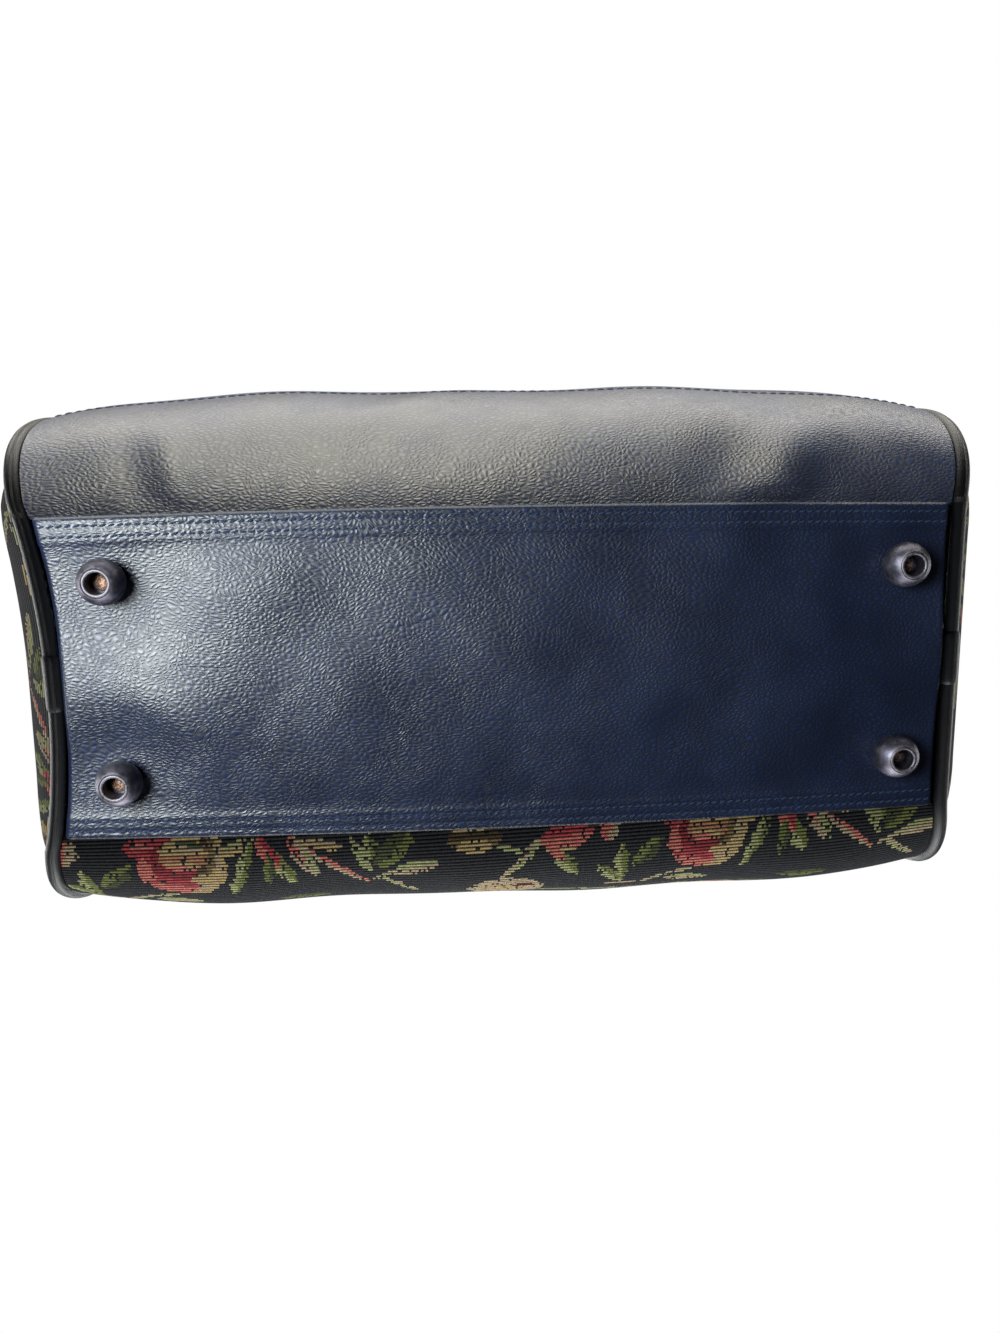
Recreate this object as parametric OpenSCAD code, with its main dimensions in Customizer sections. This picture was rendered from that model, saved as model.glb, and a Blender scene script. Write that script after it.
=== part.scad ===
// Carpet bag: tapestry walls and ends on a navy leather base that stands on four hollow feet.
// X runs along the bag, the tapestry front faces -Y, the leather back faces +Y, Z points up.
// The origin lies on the floor, under the middle of the base.

/* [Body] */
// Length of the base between the centre lines of the two pipings
base_len = 404; // [340:1:460]
// Width of the base leather between its two sewn edges
base_w = 142; // [120:1:165]
// Height of the walls from the base leather to the zip edges
wall_h = 246; // [215:1:290]
// Sideways pull of the walls low down, which makes the belly
belly_low = 97; // [60:1:115]
// Sideways pull of the walls high up, which fills the shoulders
belly_high = 54; // [30:1:65]
// Drop from the zip edges to the shoulders
shoulder_drop = 27; // [18:1:40]
// Share of the belly that is drawn in at the ends
end_pinch = 0.2; // [0.06:0.01:0.24]
// How far the end seams lean out at belly height
end_flare = 8; // [3:1:22]
// How far the middle of an end panel swells past its seam
end_swell = 25; // [8:1:32]
// How squarely an end panel is stuffed, from a shallow dome to a full cushion
end_fullness = 4; // [2:0.5:5]

/* [Leather and cloth] */
// Thickness of the leather
leather_t = 2; // [1.6:0.1:2.6]
// Thickness of the backed tapestry
tapestry_t = 2.4; // [1.8:0.1:3]
// Width of the wall margins that are sewn under the base leather
base_lap = 12; // [8:1:14]
// Height of the back leather's top edge above the base leather
back_leather_h = 60; // [50:1:110]
// Width of tapestry that is sewn under the back leather's top edge
back_lap = 14; // [8:1:20]
// Room left between two sewn layers
seam_gap = 0.2; // [0.1:0.05:0.4]

/* [Piping] */
// Diameter of the leather piping round each end
piping_d = 6.5; // [6:0.5:10]
// Thickness of the sleeve that covers the piping's joint
sleeve_t = 0.8; // [0.6:0.1:1.2]
// Length of that sleeve
sleeve_len = 25; // [15:1:40]
// Distance of the sleeve from the middle of the base, towards the front
sleeve_off = 0; // [0:1:20]

/* [Feet] */
// Height of a foot
foot_h = 14; // [12:0.5:17]
// Largest diameter of a foot
foot_d = 20; // [18:0.5:24]
// Diameter of the rim that a foot stands on
foot_tip_d = 12; // [11:0.5:14]
// Diameter of the hole in a foot
foot_hole_d = 9.4; // [8.6:0.1:10]
// Depth of that hole
foot_hole_depth = 9; // [7:0.5:10]
// Distance from the end seams and the base's sewn edges to the middle of a foot
foot_inset = 27; // [24:0.5:36]

/* [Base board and rivets] */
// Thickness of the board inside the base
board_t = 3; // [2:0.5:5]
// Distance from the board's edge to the wall margins and the end seams
board_inset = 2; // [1:0.5:8]
// Diameter of a rivet's shank
rivet_d = 3.2; // [2.6:0.1:4]
// Diameter of a rivet's head
rivet_head_d = 7.6; // [6:0.1:8.2]
// Height of a rivet's head
rivet_head_h = 1.8; // [1:0.1:2.5]
// Diameter of the washer on the board
washer_d = 13; // [9:0.5:16]
// Thickness of that washer
washer_t = 1; // [0.6:0.1:1.5]
// Radial clearance between a shank and its holes
rivet_fit = 0.05; // [0.02:0.01:0.1]

/* [Zip] */
// Width of the mouth between the walls' top edges
mouth_w = 48; // [40:1:60]
// Width of zip tape that is sewn under each wall
tape_lap = 9; // [6:1:12]
// Thickness of the zip tape
tape_t = 1; // [0.7:0.1:1.3]
// Pitch of the teeth on one tape
tooth_pitch = 5; // [4:0.5:6]
// Width of a tooth along the zip
tooth_w = 2.1; // [1.4:0.1:2.3]
// How far a tooth reaches past the middle of the zip
tooth_reach = 1.4; // [1:0.1:1.6]
// Width of the chain of teeth
chain_w = 9; // [8:0.5:11]
// Thickness of the teeth
tooth_t = 3; // [2.4:0.1:3.6]
// Length of the stop at each end of the zip
stop_len = 5; // [3:0.5:8]

/* [Slider and pull] */
// Length of the slider
slider_len = 15; // [12:0.5:18]
// Thickness of the slider's walls
slider_t = 1.4; // [1:0.1:2]
// Clearance between the slider and the zip
slider_gap = 0.3; // [0.25:0.05:0.5]
// Diameter of the pin that holds the pull
pull_pin_d = 2; // [1.6:0.1:2.4]
// Radial clearance between the pin and the pull's eye
pull_fit = 0.05; // [0.02:0.01:0.1]
// Diameter of the pull's eye
pull_eye_d = 4.4; // [4:0.1:5]
// Width of the pull's eye between the slider's ears
pull_eye_w = 3.6; // [3:0.1:4.2]
// Length of the pull from its pin to its tip
pull_len = 34; // [26:1:42]
// Width of the pull
pull_w = 9; // [7:0.5:11]
// Thickness of the pull
pull_t = 1.8; // [1.4:0.1:2.4]

/* [Handles] */
// Diameter of the rolled handles
handle_d = 14; // [11:0.5:17]
// Distance between a handle's two legs
handle_pitch = 170; // [140:1:220]
// Drop from the zip edges to the handles' lower ends
handle_foot_drop = 88; // [76:1:106]
// Drop from the zip edges to the point where a handle leaves its patches
handle_leave_drop = 52; // [41:1:64]
// Height of the handles' arch above the point where they leave
handle_rise = 130; // [100:1:160]
// Distance between the tops of the two handles
handle_top_gap = 50; // [36:1:90]
// Width of the leather patch under a handle's leg
patch_w = 32; // [24:1:44]
// Height by which a patch reaches past the handle's lower end and the point where it leaves
patch_margin = 12; // [8:1:16]

/* [Hidden] */
$fn = 64;

navy = "#24304d";
tapestry = "#2b2f2f";
gunmetal = "#2a2c38";
zip_metal = "#8a7a55";

// Grid steps up a wall, along a wall, along a flat run of an end seam and round a tube
wall_steps = 16;
length_steps = 18;
run_steps = 6;
tube_sides = 10;

wall_z0 = foot_h + leather_t;
wall_top_z = wall_z0 + wall_h;
piping_r = piping_d / 2;
end_x = base_len / 2 + end_flare;
// Distance from a piping's centre line to the walls' edges, and to the edges beside the sleeve
wall_recess = piping_r + 2 * seam_gap;
recess = piping_r + sleeve_t + seam_gap;
flat_half = base_len / 2 - recess;
foot_x = base_len / 2 - foot_inset;
foot_y = base_w / 2 - foot_inset;

function bezier(p, t) = p[0] * pow(1 - t, 3) + 3 * p[1] * pow(1 - t, 2) * t
    + 3 * p[2] * (1 - t) * t * t + p[3] * pow(t, 3);
function bezier_slope(p, t) = 3 * ((p[1] - p[0]) * pow(1 - t, 2)
    + 2 * (p[2] - p[1]) * (1 - t) * t + (p[3] - p[2]) * t * t);
function unit(v) = v / norm(v);
function flat_list(rows) = [for (row = rows) each row];

// A wall's section at a place along the bag, from the base's edge (u = 0) to the zip (u = 1)
function belly(x) = 1 - end_pinch * pow(abs(x) / end_x, 6);
function section(x) = [[base_w / 2, wall_z0], [base_w / 2 + belly_low * belly(x), wall_z0],
    [base_w / 2 + belly_high * belly(x), wall_top_z - shoulder_drop], [mouth_w / 2, wall_top_z]];
function wall_normal(u, x) = let (d = bezier_slope(section(x), max(u, 0))) unit([d[1], -d[0]]);

// A point of the back wall, set out by an offset along its outward normal.
// Below u = 0 it lies on the margin under the base leather.
function wall_point(u, x, out) = let (
    p = bezier(section(x), max(u, 0)) - (u < 0 ? [base_lap, 0] : [0, 0]),
    q = p + out * wall_normal(u, x)) [x, q[0], q[1]];

// The share u of a wall at a height above the base leather, found by halving
function u_at(h, low = 0, high = 1, left = 24) = let (mid = (low + high) / 2)
    left == 0 ? mid : bezier(section(0), mid)[1] - wall_z0 < h
        ? u_at(h, mid, high, left - 1) : u_at(h, low, mid, left - 1);

// Half the length of the bag between the end seams at a height u
function seam_x(u) = base_len / 2 + end_flare * 4 * max(u, 0) * (1 - max(u, 0));

function steps(from, to, count) = [for (i = [0 : count]) from + (to - from) * i / count];
function wall_grid(levels, outs) = [for (i = [0 : len(levels) - 1])
    [for (v = steps(-90, 90, length_steps))
        wall_point(levels[i], sin(v) * (seam_x(levels[i]) - wall_recess), outs[i])]];

// The closed seam line round the right-hand end, clockwise as seen from outside
function seam_line() = concat(
    [for (y = steps(base_w / 2, -base_w / 2, run_steps)) [seam_x(0), y, wall_z0]],
    [for (i = [1 : wall_steps]) let (p = wall_point(i / wall_steps, seam_x(i / wall_steps), 0))
        [p[0], -p[1], p[2]]],
    [for (i = [1 : run_steps - 1]) [seam_x(1), mouth_w * (i / run_steps - 0.5), wall_top_z]],
    [for (i = [wall_steps : -1 : 1]) wall_point(i / wall_steps, seam_x(i / wall_steps), 0)]);

// The outward direction across a closed seam line, in the plane of the end
function seam_out(line, i) = let (n = len(line), d = line[(i + 1) % n] - line[(i + n - 1) % n])
    unit([0, -d[2], d[1]]);

// A sheet with thickness between two grids of points
module sheet(outer, inner) {
    rows = len(outer);
    cols = len(outer[0]);
    back = rows * cols;
    across = [for (i = [0 : rows - 2], j = [0 : cols - 2]) let (a = i * cols + j, d = a + cols)
        each [[a, a + 1, d + 1], [a, d + 1, d],
            [back + a, back + d + 1, back + a + 1], [back + a, back + d, back + d + 1]]];
    ends = [for (i = [0 : rows - 2]) let (a = i * cols, d = a + cols, b = d - 1, c = b + cols)
        each [[a, d, back + d], [a, back + d, back + a],
            [c, b, back + b], [c, back + b, back + c]]];
    top = (rows - 1) * cols;
    edges = [for (j = [0 : cols - 2]) each [[j + 1, j, back + j], [j + 1, back + j, back + j + 1],
        [top + j, top + j + 1, back + top + j + 1], [top + j, back + top + j + 1, back + top + j]]];
    polyhedron(concat(flat_list(outer), flat_list(inner)), concat(across, ends, edges));
}

// One ring of points round a path point
function tube_ring(p, e1, e2, r) = [for (j = [0 : tube_sides - 1])
    p + r * (cos(360 * j / tube_sides) * e1 + sin(360 * j / tube_sides) * e2)];

// A tube through rings of points, closed on itself or capped
module tube(rings, closed) {
    n = len(rings);
    m = tube_sides;
    skin = [for (i = [0 : n - (closed ? 1 : 2)], j = [0 : m - 1])
        let (k = (i + 1) % n, a = i * m + j, b = k * m + j,
            c = k * m + (j + 1) % m, d = i * m + (j + 1) % m)
        each [[a, b, c], [a, c, d]]];
    caps = closed ? [] : [[for (j = [0 : m - 1]) j], [for (j = [m - 1 : -1 : 0]) (n - 1) * m + j]];
    polyhedron(flat_list(rings), concat(skin, caps));
}

module at_feet() {
    for (x = [-1, 1], y = [-1, 1])
        translate([x * foot_x, y * foot_y, 0]) children();
}

module base_panel() {
    color(navy) difference() {
        rotate([90, 0, 90]) translate([0, 0, -flat_half]) linear_extrude(2 * flat_half) union() {
            translate([-base_w / 2 + leather_t / 2, foot_h])
                square([base_w - leather_t, leather_t]);
            for (y = [-1, 1])
                translate([y * (base_w - leather_t) / 2, foot_h + leather_t / 2]) circle(d = leather_t);
        }
        at_feet() translate([0, 0, foot_h - 1]) cylinder(r = rivet_d / 2 + rivet_fit, h = leather_t + 2);
    }
}

module base_board() {
    board_w = base_w - 2 * (base_lap + board_inset);
    board_len = 2 * (flat_half - board_inset);
    color("#5b4a38") difference() {
        translate([-board_len / 2, -board_w / 2, wall_z0]) cube([board_len, board_w, board_t]);
        at_feet() translate([0, 0, wall_z0 - 1]) cylinder(r = rivet_d / 2 + rivet_fit, h = board_t + 2);
    }
}

// A ball cut flat at the leather and at the floor, with a deep hole from below
module foot(side_x, side_y) {
    ball_z = sqrt(pow(foot_d / 2, 2) - pow(foot_tip_d / 2, 2));
    color(gunmetal) translate([side_x * foot_x, side_y * foot_y, 0]) difference() {
        intersection() {
            translate([0, 0, ball_z]) sphere(d = foot_d);
            cylinder(d = foot_d, h = foot_h);
        }
        translate([0, 0, -1]) cylinder(d = foot_hole_d, h = foot_hole_depth + 1);
        cylinder(r = rivet_d / 2 + rivet_fit, h = foot_h + 1);
    }
}

module foot_rivets() {
    shank_top = wall_z0 + board_t + washer_t;
    color("#7a5a42") at_feet() {
        translate([0, 0, foot_hole_depth - rivet_head_h])
            cylinder(d1 = rivet_head_d - rivet_head_h, d2 = rivet_head_d, h = rivet_head_h);
        translate([0, 0, foot_hole_depth - rivet_head_h / 2])
            cylinder(d = rivet_d, h = shank_top - foot_hole_depth + rivet_head_h / 2);
        translate([0, 0, shank_top])
            cylinder(d1 = rivet_head_d, d2 = rivet_d, h = rivet_head_h);
    }
}

module rivet_washers() {
    color("silver") at_feet() translate([0, 0, wall_z0 + board_t]) difference() {
        cylinder(d = washer_d, h = washer_t);
        translate([0, 0, -1]) cylinder(r = rivet_d / 2 + rivet_fit, h = washer_t + 2);
    }
}

// A wall panel between two levels, with its outer face set out and its thickness inwards
module wall_sheet(levels, outs, thickness) {
    sheet(wall_grid(levels, outs), wall_grid(levels, [for (o = outs) o - thickness]));
}

module front_panel() {
    levels = concat([-1], steps(0, 1, wall_steps));
    color(tapestry) mirror([0, 1, 0]) wall_sheet(levels, [for (u = levels) 0], tapestry_t);
}

// The back leather rises from the wall line to lie over the tapestry at its top edge
module back_lower_panel() {
    lap_u = u_at(back_leather_h - back_lap);
    levels = concat([-1], steps(0, lap_u, ceil(wall_steps / 2)), [u_at(back_leather_h)]);
    lift = [for (u = levels) (leather_t + seam_gap) * max(0, min(1, u / lap_u))];
    color(navy) wall_sheet(levels, lift, leather_t);
}

module back_upper_panel() {
    lap_u = u_at(back_leather_h - back_lap);
    levels = concat([lap_u], steps(u_at(back_leather_h), 1, wall_steps - 6));
    color(tapestry) wall_sheet(levels, [for (u = levels) 0], tapestry_t);
}

// A swollen panel inside the end seam
module end_panel(side) {
    rings = [1, 0.93, 0.84, 0.68, 0.4];
    line = seam_line();
    n = len(line);
    rim = [for (i = [0 : n - 1]) line[i] - recess * seam_out(line, i)];
    mid = [seam_x(0.5) + end_swell, 0, wall_z0 + wall_h / 2];
    // The swell is level in the middle and falls to the rim
    function point(r, i) = let (p = mid + r * (rim[i] - mid))
        [rim[i][0] + (mid[0] - rim[i][0]) * (1 - pow(r, end_fullness)), p[1], p[2]];
    outer = [for (r = rings, i = [0 : n - 1]) point(r, i) + [tapestry_t / 2, 0, 0]];
    thick = [tapestry_t, 0, 0];
    points = concat(outer, [mid + thick / 2], [for (p = outer) p - thick], [mid - thick / 2]);
    back = len(outer) + 1;
    last = (len(rings) - 1) * n;
    skin = [for (k = [0 : len(rings) - 2], i = [0 : n - 1])
        let (a = k * n + i, b = k * n + (i + 1) % n)
        each [[a, b, b + n], [a, b + n, a + n],
            [back + a, back + b + n, back + b], [back + a, back + a + n, back + b + n]]];
    fan = [for (i = [0 : n - 1]) let (a = last + i, b = last + (i + 1) % n)
        each [[a, b, back - 1], [back + a, 2 * back - 1, back + b]]];
    edge = [for (i = [0 : n - 1]) let (j = (i + 1) % n)
        each [[j, i, back + i], [j, back + i, back + j]]];
    color(tapestry) mirror([side < 0 ? 1 : 0, 0, 0]) polyhedron(points, concat(skin, fan, edge));
}

module piping(side) {
    line = seam_line();
    rings = [for (i = [0 : len(line) - 1])
        tube_ring(line[i], seam_out(line, i), [1, 0, 0], piping_r)];
    color(navy) mirror([side < 0 ? 1 : 0, 0, 0]) tube(rings, true);
}

// A leather wrap over the piping's joint, on the straight run under the base
module piping_sleeve(side) {
    sleeve_r = piping_r + sleeve_t;
    color(navy) translate([side * base_len / 2, -sleeve_off, wall_z0]) rotate([90, 0, 0]) difference() {
        cylinder(r = sleeve_r, h = sleeve_len, center = true);
        cylinder(r = piping_r, h = sleeve_len + 2, center = true);
    }
}

// The upper face of the tape, under the inner top edge of a wall and one grid step down it
function tape_point(u) = let (p = wall_point(u, flat_half, -tapestry_t - seam_gap)) [p[1], p[2]];
tape_edge = tape_point(1);
tape_fall = unit(tape_point(1 - 1 / wall_steps) - tape_edge);
tape_top_z = tape_edge[1];

// One tape: level beside the teeth, then sloping down under the wall
module zip_tape(side) {
    level = [[chain_w / 2, tape_top_z], tape_edge, tape_edge + tape_lap * tape_fall];
    down = [0, -tape_t];
    color("#20242e") mirror([0, side < 0 ? 1 : 0, 0]) rotate([90, 0, 90])
        translate([0, 0, -flat_half]) linear_extrude(2 * flat_half)
            polygon(concat(level, [for (i = [2 : -1 : 0]) level[i] + down]));
}

zip_half = flat_half - stop_len;
tooth_count = floor((2 * zip_half - tooth_pitch) / tooth_pitch);
tooth_base_z = tape_top_z - tape_t / 2 - tooth_t / 2;

// A comb of teeth; the two combs are half a pitch apart and mesh along the middle
module zip_teeth(side) {
    first = -tooth_count * tooth_pitch / 2 + side * tooth_pitch / 4;
    spine = tooth_reach + seam_gap;
    teeth = [for (i = [0 : tooth_count - 1]) let (x = first + (i + 0.5) * tooth_pitch)
        each [[x - tooth_w / 2, spine], [x - tooth_w / 2, -tooth_reach],
            [x + tooth_w / 2, -tooth_reach], [x + tooth_w / 2, spine]]];
    color(zip_metal) mirror([0, side < 0 ? 1 : 0, 0]) translate([0, 0, tooth_base_z])
        linear_extrude(tooth_t)
            polygon(concat([[-zip_half, chain_w / 2], [-zip_half, spine]], teeth,
                [[zip_half, spine], [zip_half, chain_w / 2]]));
}

module zip_stops() {
    color(zip_metal) for (side = [-1, 1])
        translate([side * (zip_half + stop_len / 2), 0, tape_top_z + tooth_t / 4])
            cube([stop_len, chain_w + 4, tooth_t / 2], center = true);
}

// The slider rests at the right-hand end of the zip
slider_x = zip_half - slider_len / 2 - slider_gap;
slider_floor_z = tooth_base_z + tooth_t + slider_gap;
slider_w = chain_w + 2 * (slider_gap + slider_t);
pin_z = slider_floor_z + slider_t + pull_eye_d / 2 + slider_gap;

module slider_ear(side) {
    ear_y = pull_eye_w / 2 + slider_gap;
    translate([slider_x, side * (ear_y + slider_t / 2), slider_floor_z + slider_t / 2])
        rotate([90, 0, 0]) linear_extrude(slider_t, center = true) union() {
            translate([0, pin_z - slider_floor_z - slider_t / 2]) circle(d = pull_eye_d);
            translate([-pull_eye_d / 2, 0])
                square([pull_eye_d, pin_z - slider_floor_z - slider_t / 2]);
        }
}

module zip_slider() {
    wall_z = tape_top_z + slider_gap;
    color(zip_metal) union() {
        translate([slider_x - slider_len / 2, -slider_w / 2, slider_floor_z])
            cube([slider_len, slider_w, slider_t]);
        for (side = [-1, 1])
            translate([slider_x - slider_len / 2,
                    side * (slider_w - slider_t) / 2 - slider_t / 2, wall_z])
                cube([slider_len, slider_t, slider_floor_z + slider_t / 2 - wall_z]);
        for (side = [-1, 1]) slider_ear(side);
        translate([slider_x, 0, pin_z]) rotate([90, 0, 0])
            cylinder(d = pull_pin_d, h = pull_eye_w + 2 * slider_gap + slider_t, center = true);
    }
}

// A tapered tab that lies back along the closed zip and turns on the slider's pin
module zip_pull() {
    neck = slider_len / 2 + slider_gap;
    color(zip_metal) translate([slider_x, 0, pin_z]) difference() {
        union() {
            rotate([90, 0, 0]) cylinder(d = pull_eye_d, h = pull_eye_w, center = true);
            translate([-neck, -pull_eye_w / 2, -pull_t / 2]) cube([neck, pull_eye_w, pull_t]);
            translate([0, 0, -pull_t / 2]) linear_extrude(pull_t) union() {
                polygon([[1 - neck, -pull_eye_w / 2], [1 - neck, pull_eye_w / 2],
                    [pull_w / 2 - pull_len, pull_w / 2], [pull_w / 2 - pull_len, -pull_w / 2]]);
                translate([pull_w / 2 - pull_len, 0]) circle(d = pull_w);
            }
        }
        rotate([90, 0, 0]) cylinder(r = pull_pin_d / 2 + pull_fit, h = pull_eye_w + 2, center = true);
        translate([pull_w / 2 - pull_len, 0, -pull_t]) cylinder(d = pull_w / 2, h = 2 * pull_t);
    }
}

// Leather patches on the walls, one under each leg of the handles
module handle_patch(side_x, side_y) {
    levels = steps(u_at(wall_h - handle_foot_drop - patch_margin),
        u_at(wall_h - handle_leave_drop + patch_margin), 6);
    function grid(o) = [for (u = levels) [for (x = steps(-patch_w / 2, patch_w / 2, 3))
        wall_point(u, side_x * handle_pitch / 2 + x, o)]];
    mirror([0, side_y < 0 ? 1 : 0, 0]) sheet(grid(seam_gap + leather_t), grid(seam_gap));
}

module handle_patches() {
    color(navy) for (x = [-1, 1], y = [-1, 1]) handle_patch(x, y);
}

// A rolled handle: its legs lie on the patches and its arch leans in over the zip
module handle(side) {
    out = 2 * seam_gap + leather_t + handle_d / 2;
    leg = [for (u = steps(u_at(wall_h - handle_foot_drop), u_at(wall_h - handle_leave_drop), 5))
        wall_point(u, handle_pitch / 2, out)];
    foot = leg[len(leg) - 1];
    rise = [0, handle_top_gap / 2 - foot[1], handle_rise];
    arch = [for (a = [7.5 : 7.5 : 172.5]) [foot[0] * cos(a), foot[1], foot[2]] + rise * sin(a)];
    path = concat(leg, arch, [for (i = [len(leg) - 1 : -1 : 0]) [-leg[i][0], leg[i][1], leg[i][2]]]);
    across = unit([0, rise[2], -rise[1]]);
    last = len(path) - 1;
    rings = [for (i = [0 : last]) let (
        t = unit(path[min(i + 1, last)] - path[max(i - 1, 0)]),
        e1 = unit(across - (across * t) * t))
        tube_ring(path[i], e1, cross(t, e1), handle_d / 2)];
    color(navy) mirror([0, side < 0 ? 1 : 0, 0]) tube(rings, false);
}

base_panel();
base_board();
foot(-1, -1);  // foot_front_left
foot(1, -1);  // foot_front_right
foot(-1, 1);  // foot_back_left
foot(1, 1);  // foot_back_right
foot_rivets();
rivet_washers();
front_panel();
back_lower_panel();
back_upper_panel();
end_panel(-1);  // end_panel_left
end_panel(1);  // end_panel_right
piping(-1);  // piping_left
piping(1);  // piping_right
piping_sleeve(-1);  // piping_sleeve_left
piping_sleeve(1);  // piping_sleeve_right
zip_tape(-1);  // zip_tape_front
zip_tape(1);  // zip_tape_back
zip_teeth(-1);  // zip_teeth_front
zip_teeth(1);  // zip_teeth_back
zip_stops();
zip_slider();
zip_pull();
handle_patches();
handle(-1);  // handle_front
handle(1);  // handle_back
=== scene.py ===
# Carpet bag: floral tapestry walls on a navy leather base, standing on four hollow feet.
# Metres, X along the bag, the tapestry front at -Y, the leather back at +Y, Z up from the floor.
import math

import bmesh
import bpy
import numpy as np
from mathutils import Matrix, Vector


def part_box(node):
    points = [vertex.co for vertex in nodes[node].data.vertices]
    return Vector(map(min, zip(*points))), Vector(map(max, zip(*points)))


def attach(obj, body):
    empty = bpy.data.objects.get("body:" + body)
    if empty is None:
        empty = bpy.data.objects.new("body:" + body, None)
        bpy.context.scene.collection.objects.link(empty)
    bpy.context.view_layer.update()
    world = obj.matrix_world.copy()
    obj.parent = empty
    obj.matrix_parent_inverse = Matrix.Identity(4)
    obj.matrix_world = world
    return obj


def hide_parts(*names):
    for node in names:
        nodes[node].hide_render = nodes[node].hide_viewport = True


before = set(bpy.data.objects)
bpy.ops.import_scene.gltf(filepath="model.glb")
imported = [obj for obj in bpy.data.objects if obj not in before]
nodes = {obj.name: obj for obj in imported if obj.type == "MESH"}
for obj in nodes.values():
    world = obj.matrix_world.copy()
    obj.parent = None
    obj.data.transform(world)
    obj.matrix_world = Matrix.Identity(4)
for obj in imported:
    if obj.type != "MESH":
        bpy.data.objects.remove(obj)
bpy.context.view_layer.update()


# Camera. The photograph looks up at the underside from close by, with the bag's back at the
# top of the picture, so the camera stands below the base and leans towards the front.
IMAGE_H = 1333
FOCAL_PX = 973
SENSOR_MM = 36.0
camera_data = bpy.data.cameras.new("camera")
camera_data.sensor_width = SENSOR_MM
camera_data.lens = SENSOR_MM * FOCAL_PX / IMAGE_H
camera_data.clip_start = 0.01
camera = bpy.data.objects.new("camera", camera_data)
bpy.context.scene.collection.objects.link(camera)
camera_at = Vector((0.0373, 0.0775, -0.4127))
camera_look = Vector((-0.0697, -0.1738, 0.9823)).normalized()
camera_right = camera_look.cross(Vector((-0.0287, 0.9846, 0.1722))).normalized()
camera_axes = Matrix((camera_right, camera_right.cross(camera_look), -camera_look)).transposed()
camera.matrix_world = Matrix.Translation(camera_at) @ camera_axes.to_4x4()
bpy.context.scene.camera = camera


# Base board. A stiff fibreboard lies inside the bag on the base leather, and the feet are riveted
# through it. It is out of sight, a plain pressed board with a mottled brown face.
def paint(code):
    """A colour written as six hex digits, as the linear colour that a shader takes."""
    parts = [int(code[i:i + 2], 16) / 255 for i in (0, 2, 4)]
    return [c / 12.92 if c <= 0.04045 else ((c + 0.055) / 1.055) ** 2.4 for c in parts] + [1.0]


def put(tree, kind, inputs=None, **settings):
    """A node of a tree. Its inputs are given by name or number, as a value or as a socket to link."""
    node = tree.nodes.new(kind)
    for key, value in settings.items():
        setattr(node, key, value)
    for key, value in (inputs or {}).items():
        if isinstance(value, bpy.types.NodeSocket):
            tree.links.new(value, node.inputs[key])
        else:
            node.inputs[key].default_value = value
    return node


def calc(tree, operation, *values):
    """The result of a Math node."""
    return put(tree, "ShaderNodeMath", dict(enumerate(values)), operation=operation).outputs[0]


def mix(tree, share, first, second):
    """Two colours mixed by a share."""
    return put(tree, "ShaderNodeMix", {0: share, 6: first, 7: second}, data_type="RGBA").outputs[2]


def ramp(tree, value, low, high, start=0.0, end=1.0):
    """A value carried smoothly from the span low to high to the span start to end."""
    return put(tree, "ShaderNodeMapRange", {0: value, 1: low, 2: high, 3: start, 4: end},
               interpolation_type="SMOOTHSTEP").outputs[0]


def noise(tree, place, scale, detail=3.0):
    """The value of a noise at a place."""
    return put(tree, "ShaderNodeTexNoise", {"Vector": place, "Scale": scale, "Detail": detail}).outputs[0]


def new_finish(name, **sockets):
    """A material with one Principled shader, whose constant sockets are set by name."""
    material = bpy.data.materials.new(name)
    material.use_nodes = True
    tree = material.node_tree
    shader = tree.nodes["Principled BSDF"]
    for key, value in sockets.items():
        shader.inputs[key.replace("_", " ")].default_value = value
    return material, tree, shader


def set_bump(tree, shader, height, distance, strength=1.0):
    """Gives a shader a bump of that height in metres."""
    bump = put(tree, "ShaderNodeBump", {"Height": height, "Distance": distance, "Strength": strength})
    tree.links.new(bump.outputs[0], shader.inputs["Normal"])


def object_place(tree):
    return tree.nodes.new("ShaderNodeTexCoord").outputs["Object"]


def finish_node(name, material):
    """Puts a finish on a CAD node that stays as it is."""
    nodes[name].data.materials.clear()
    nodes[name].data.materials.append(material)


fibreboard, tree, shader = new_finish("fibreboard", Roughness=0.85)
flecks = noise(tree, object_place(tree), 900.0, 5.0)
tree.links.new(mix(tree, flecks, paint("3a2c20"), paint("7a6248")), shader.inputs["Base Color"])
set_bump(tree, shader, flecks, 0.0002)
finish_node("base_board", fibreboard)


# Base panel. One piece of pebbled navy leather under the board, its two long edges turned in and
# lapped over the walls with two rows of stitching. It is soft, and waves a little between the feet.
base_low, base_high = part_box("base_panel")
BASE_HALF_W = base_high.y
BASE_HALF_LEN = base_high.x
BASE_Z = base_low.z
LEATHER_T = base_high.z - base_low.z
WALL_Z0 = base_high.z
EDGE_ROUND = 0.0015
STITCH_ROWS = (0.0040, 0.0085)
STITCH_PITCH = 0.0036
GROOVE_DEPTH = 0.00024
GROOVE_HALF = 0.0012
FOOT_R = 0.010
foot_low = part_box("foot_back_right")[0]
FOOT_X, FOOT_Y = foot_low.x + FOOT_R, foot_low.y + FOOT_R
HEM_PUFF, TURN_IN = 0.0009, 0.0045
HEM_W = 0.0125


def smooth(value, low, high):
    """Runs softly from 0 at low to 1 at high."""
    t = np.clip((value - low) / (high - low), 0, 1)
    return t * t * (3 - 2 * t)


FRONT_BOW, BACK_BOW = -0.0030, 0.0020
END_DRAWN_IN, END_SKEW, CORNER_SPREAD = -0.0005, 0.0005, 0.0066
SETTLE_H, FRONT_END_H = 0.07, 0.028


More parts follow.
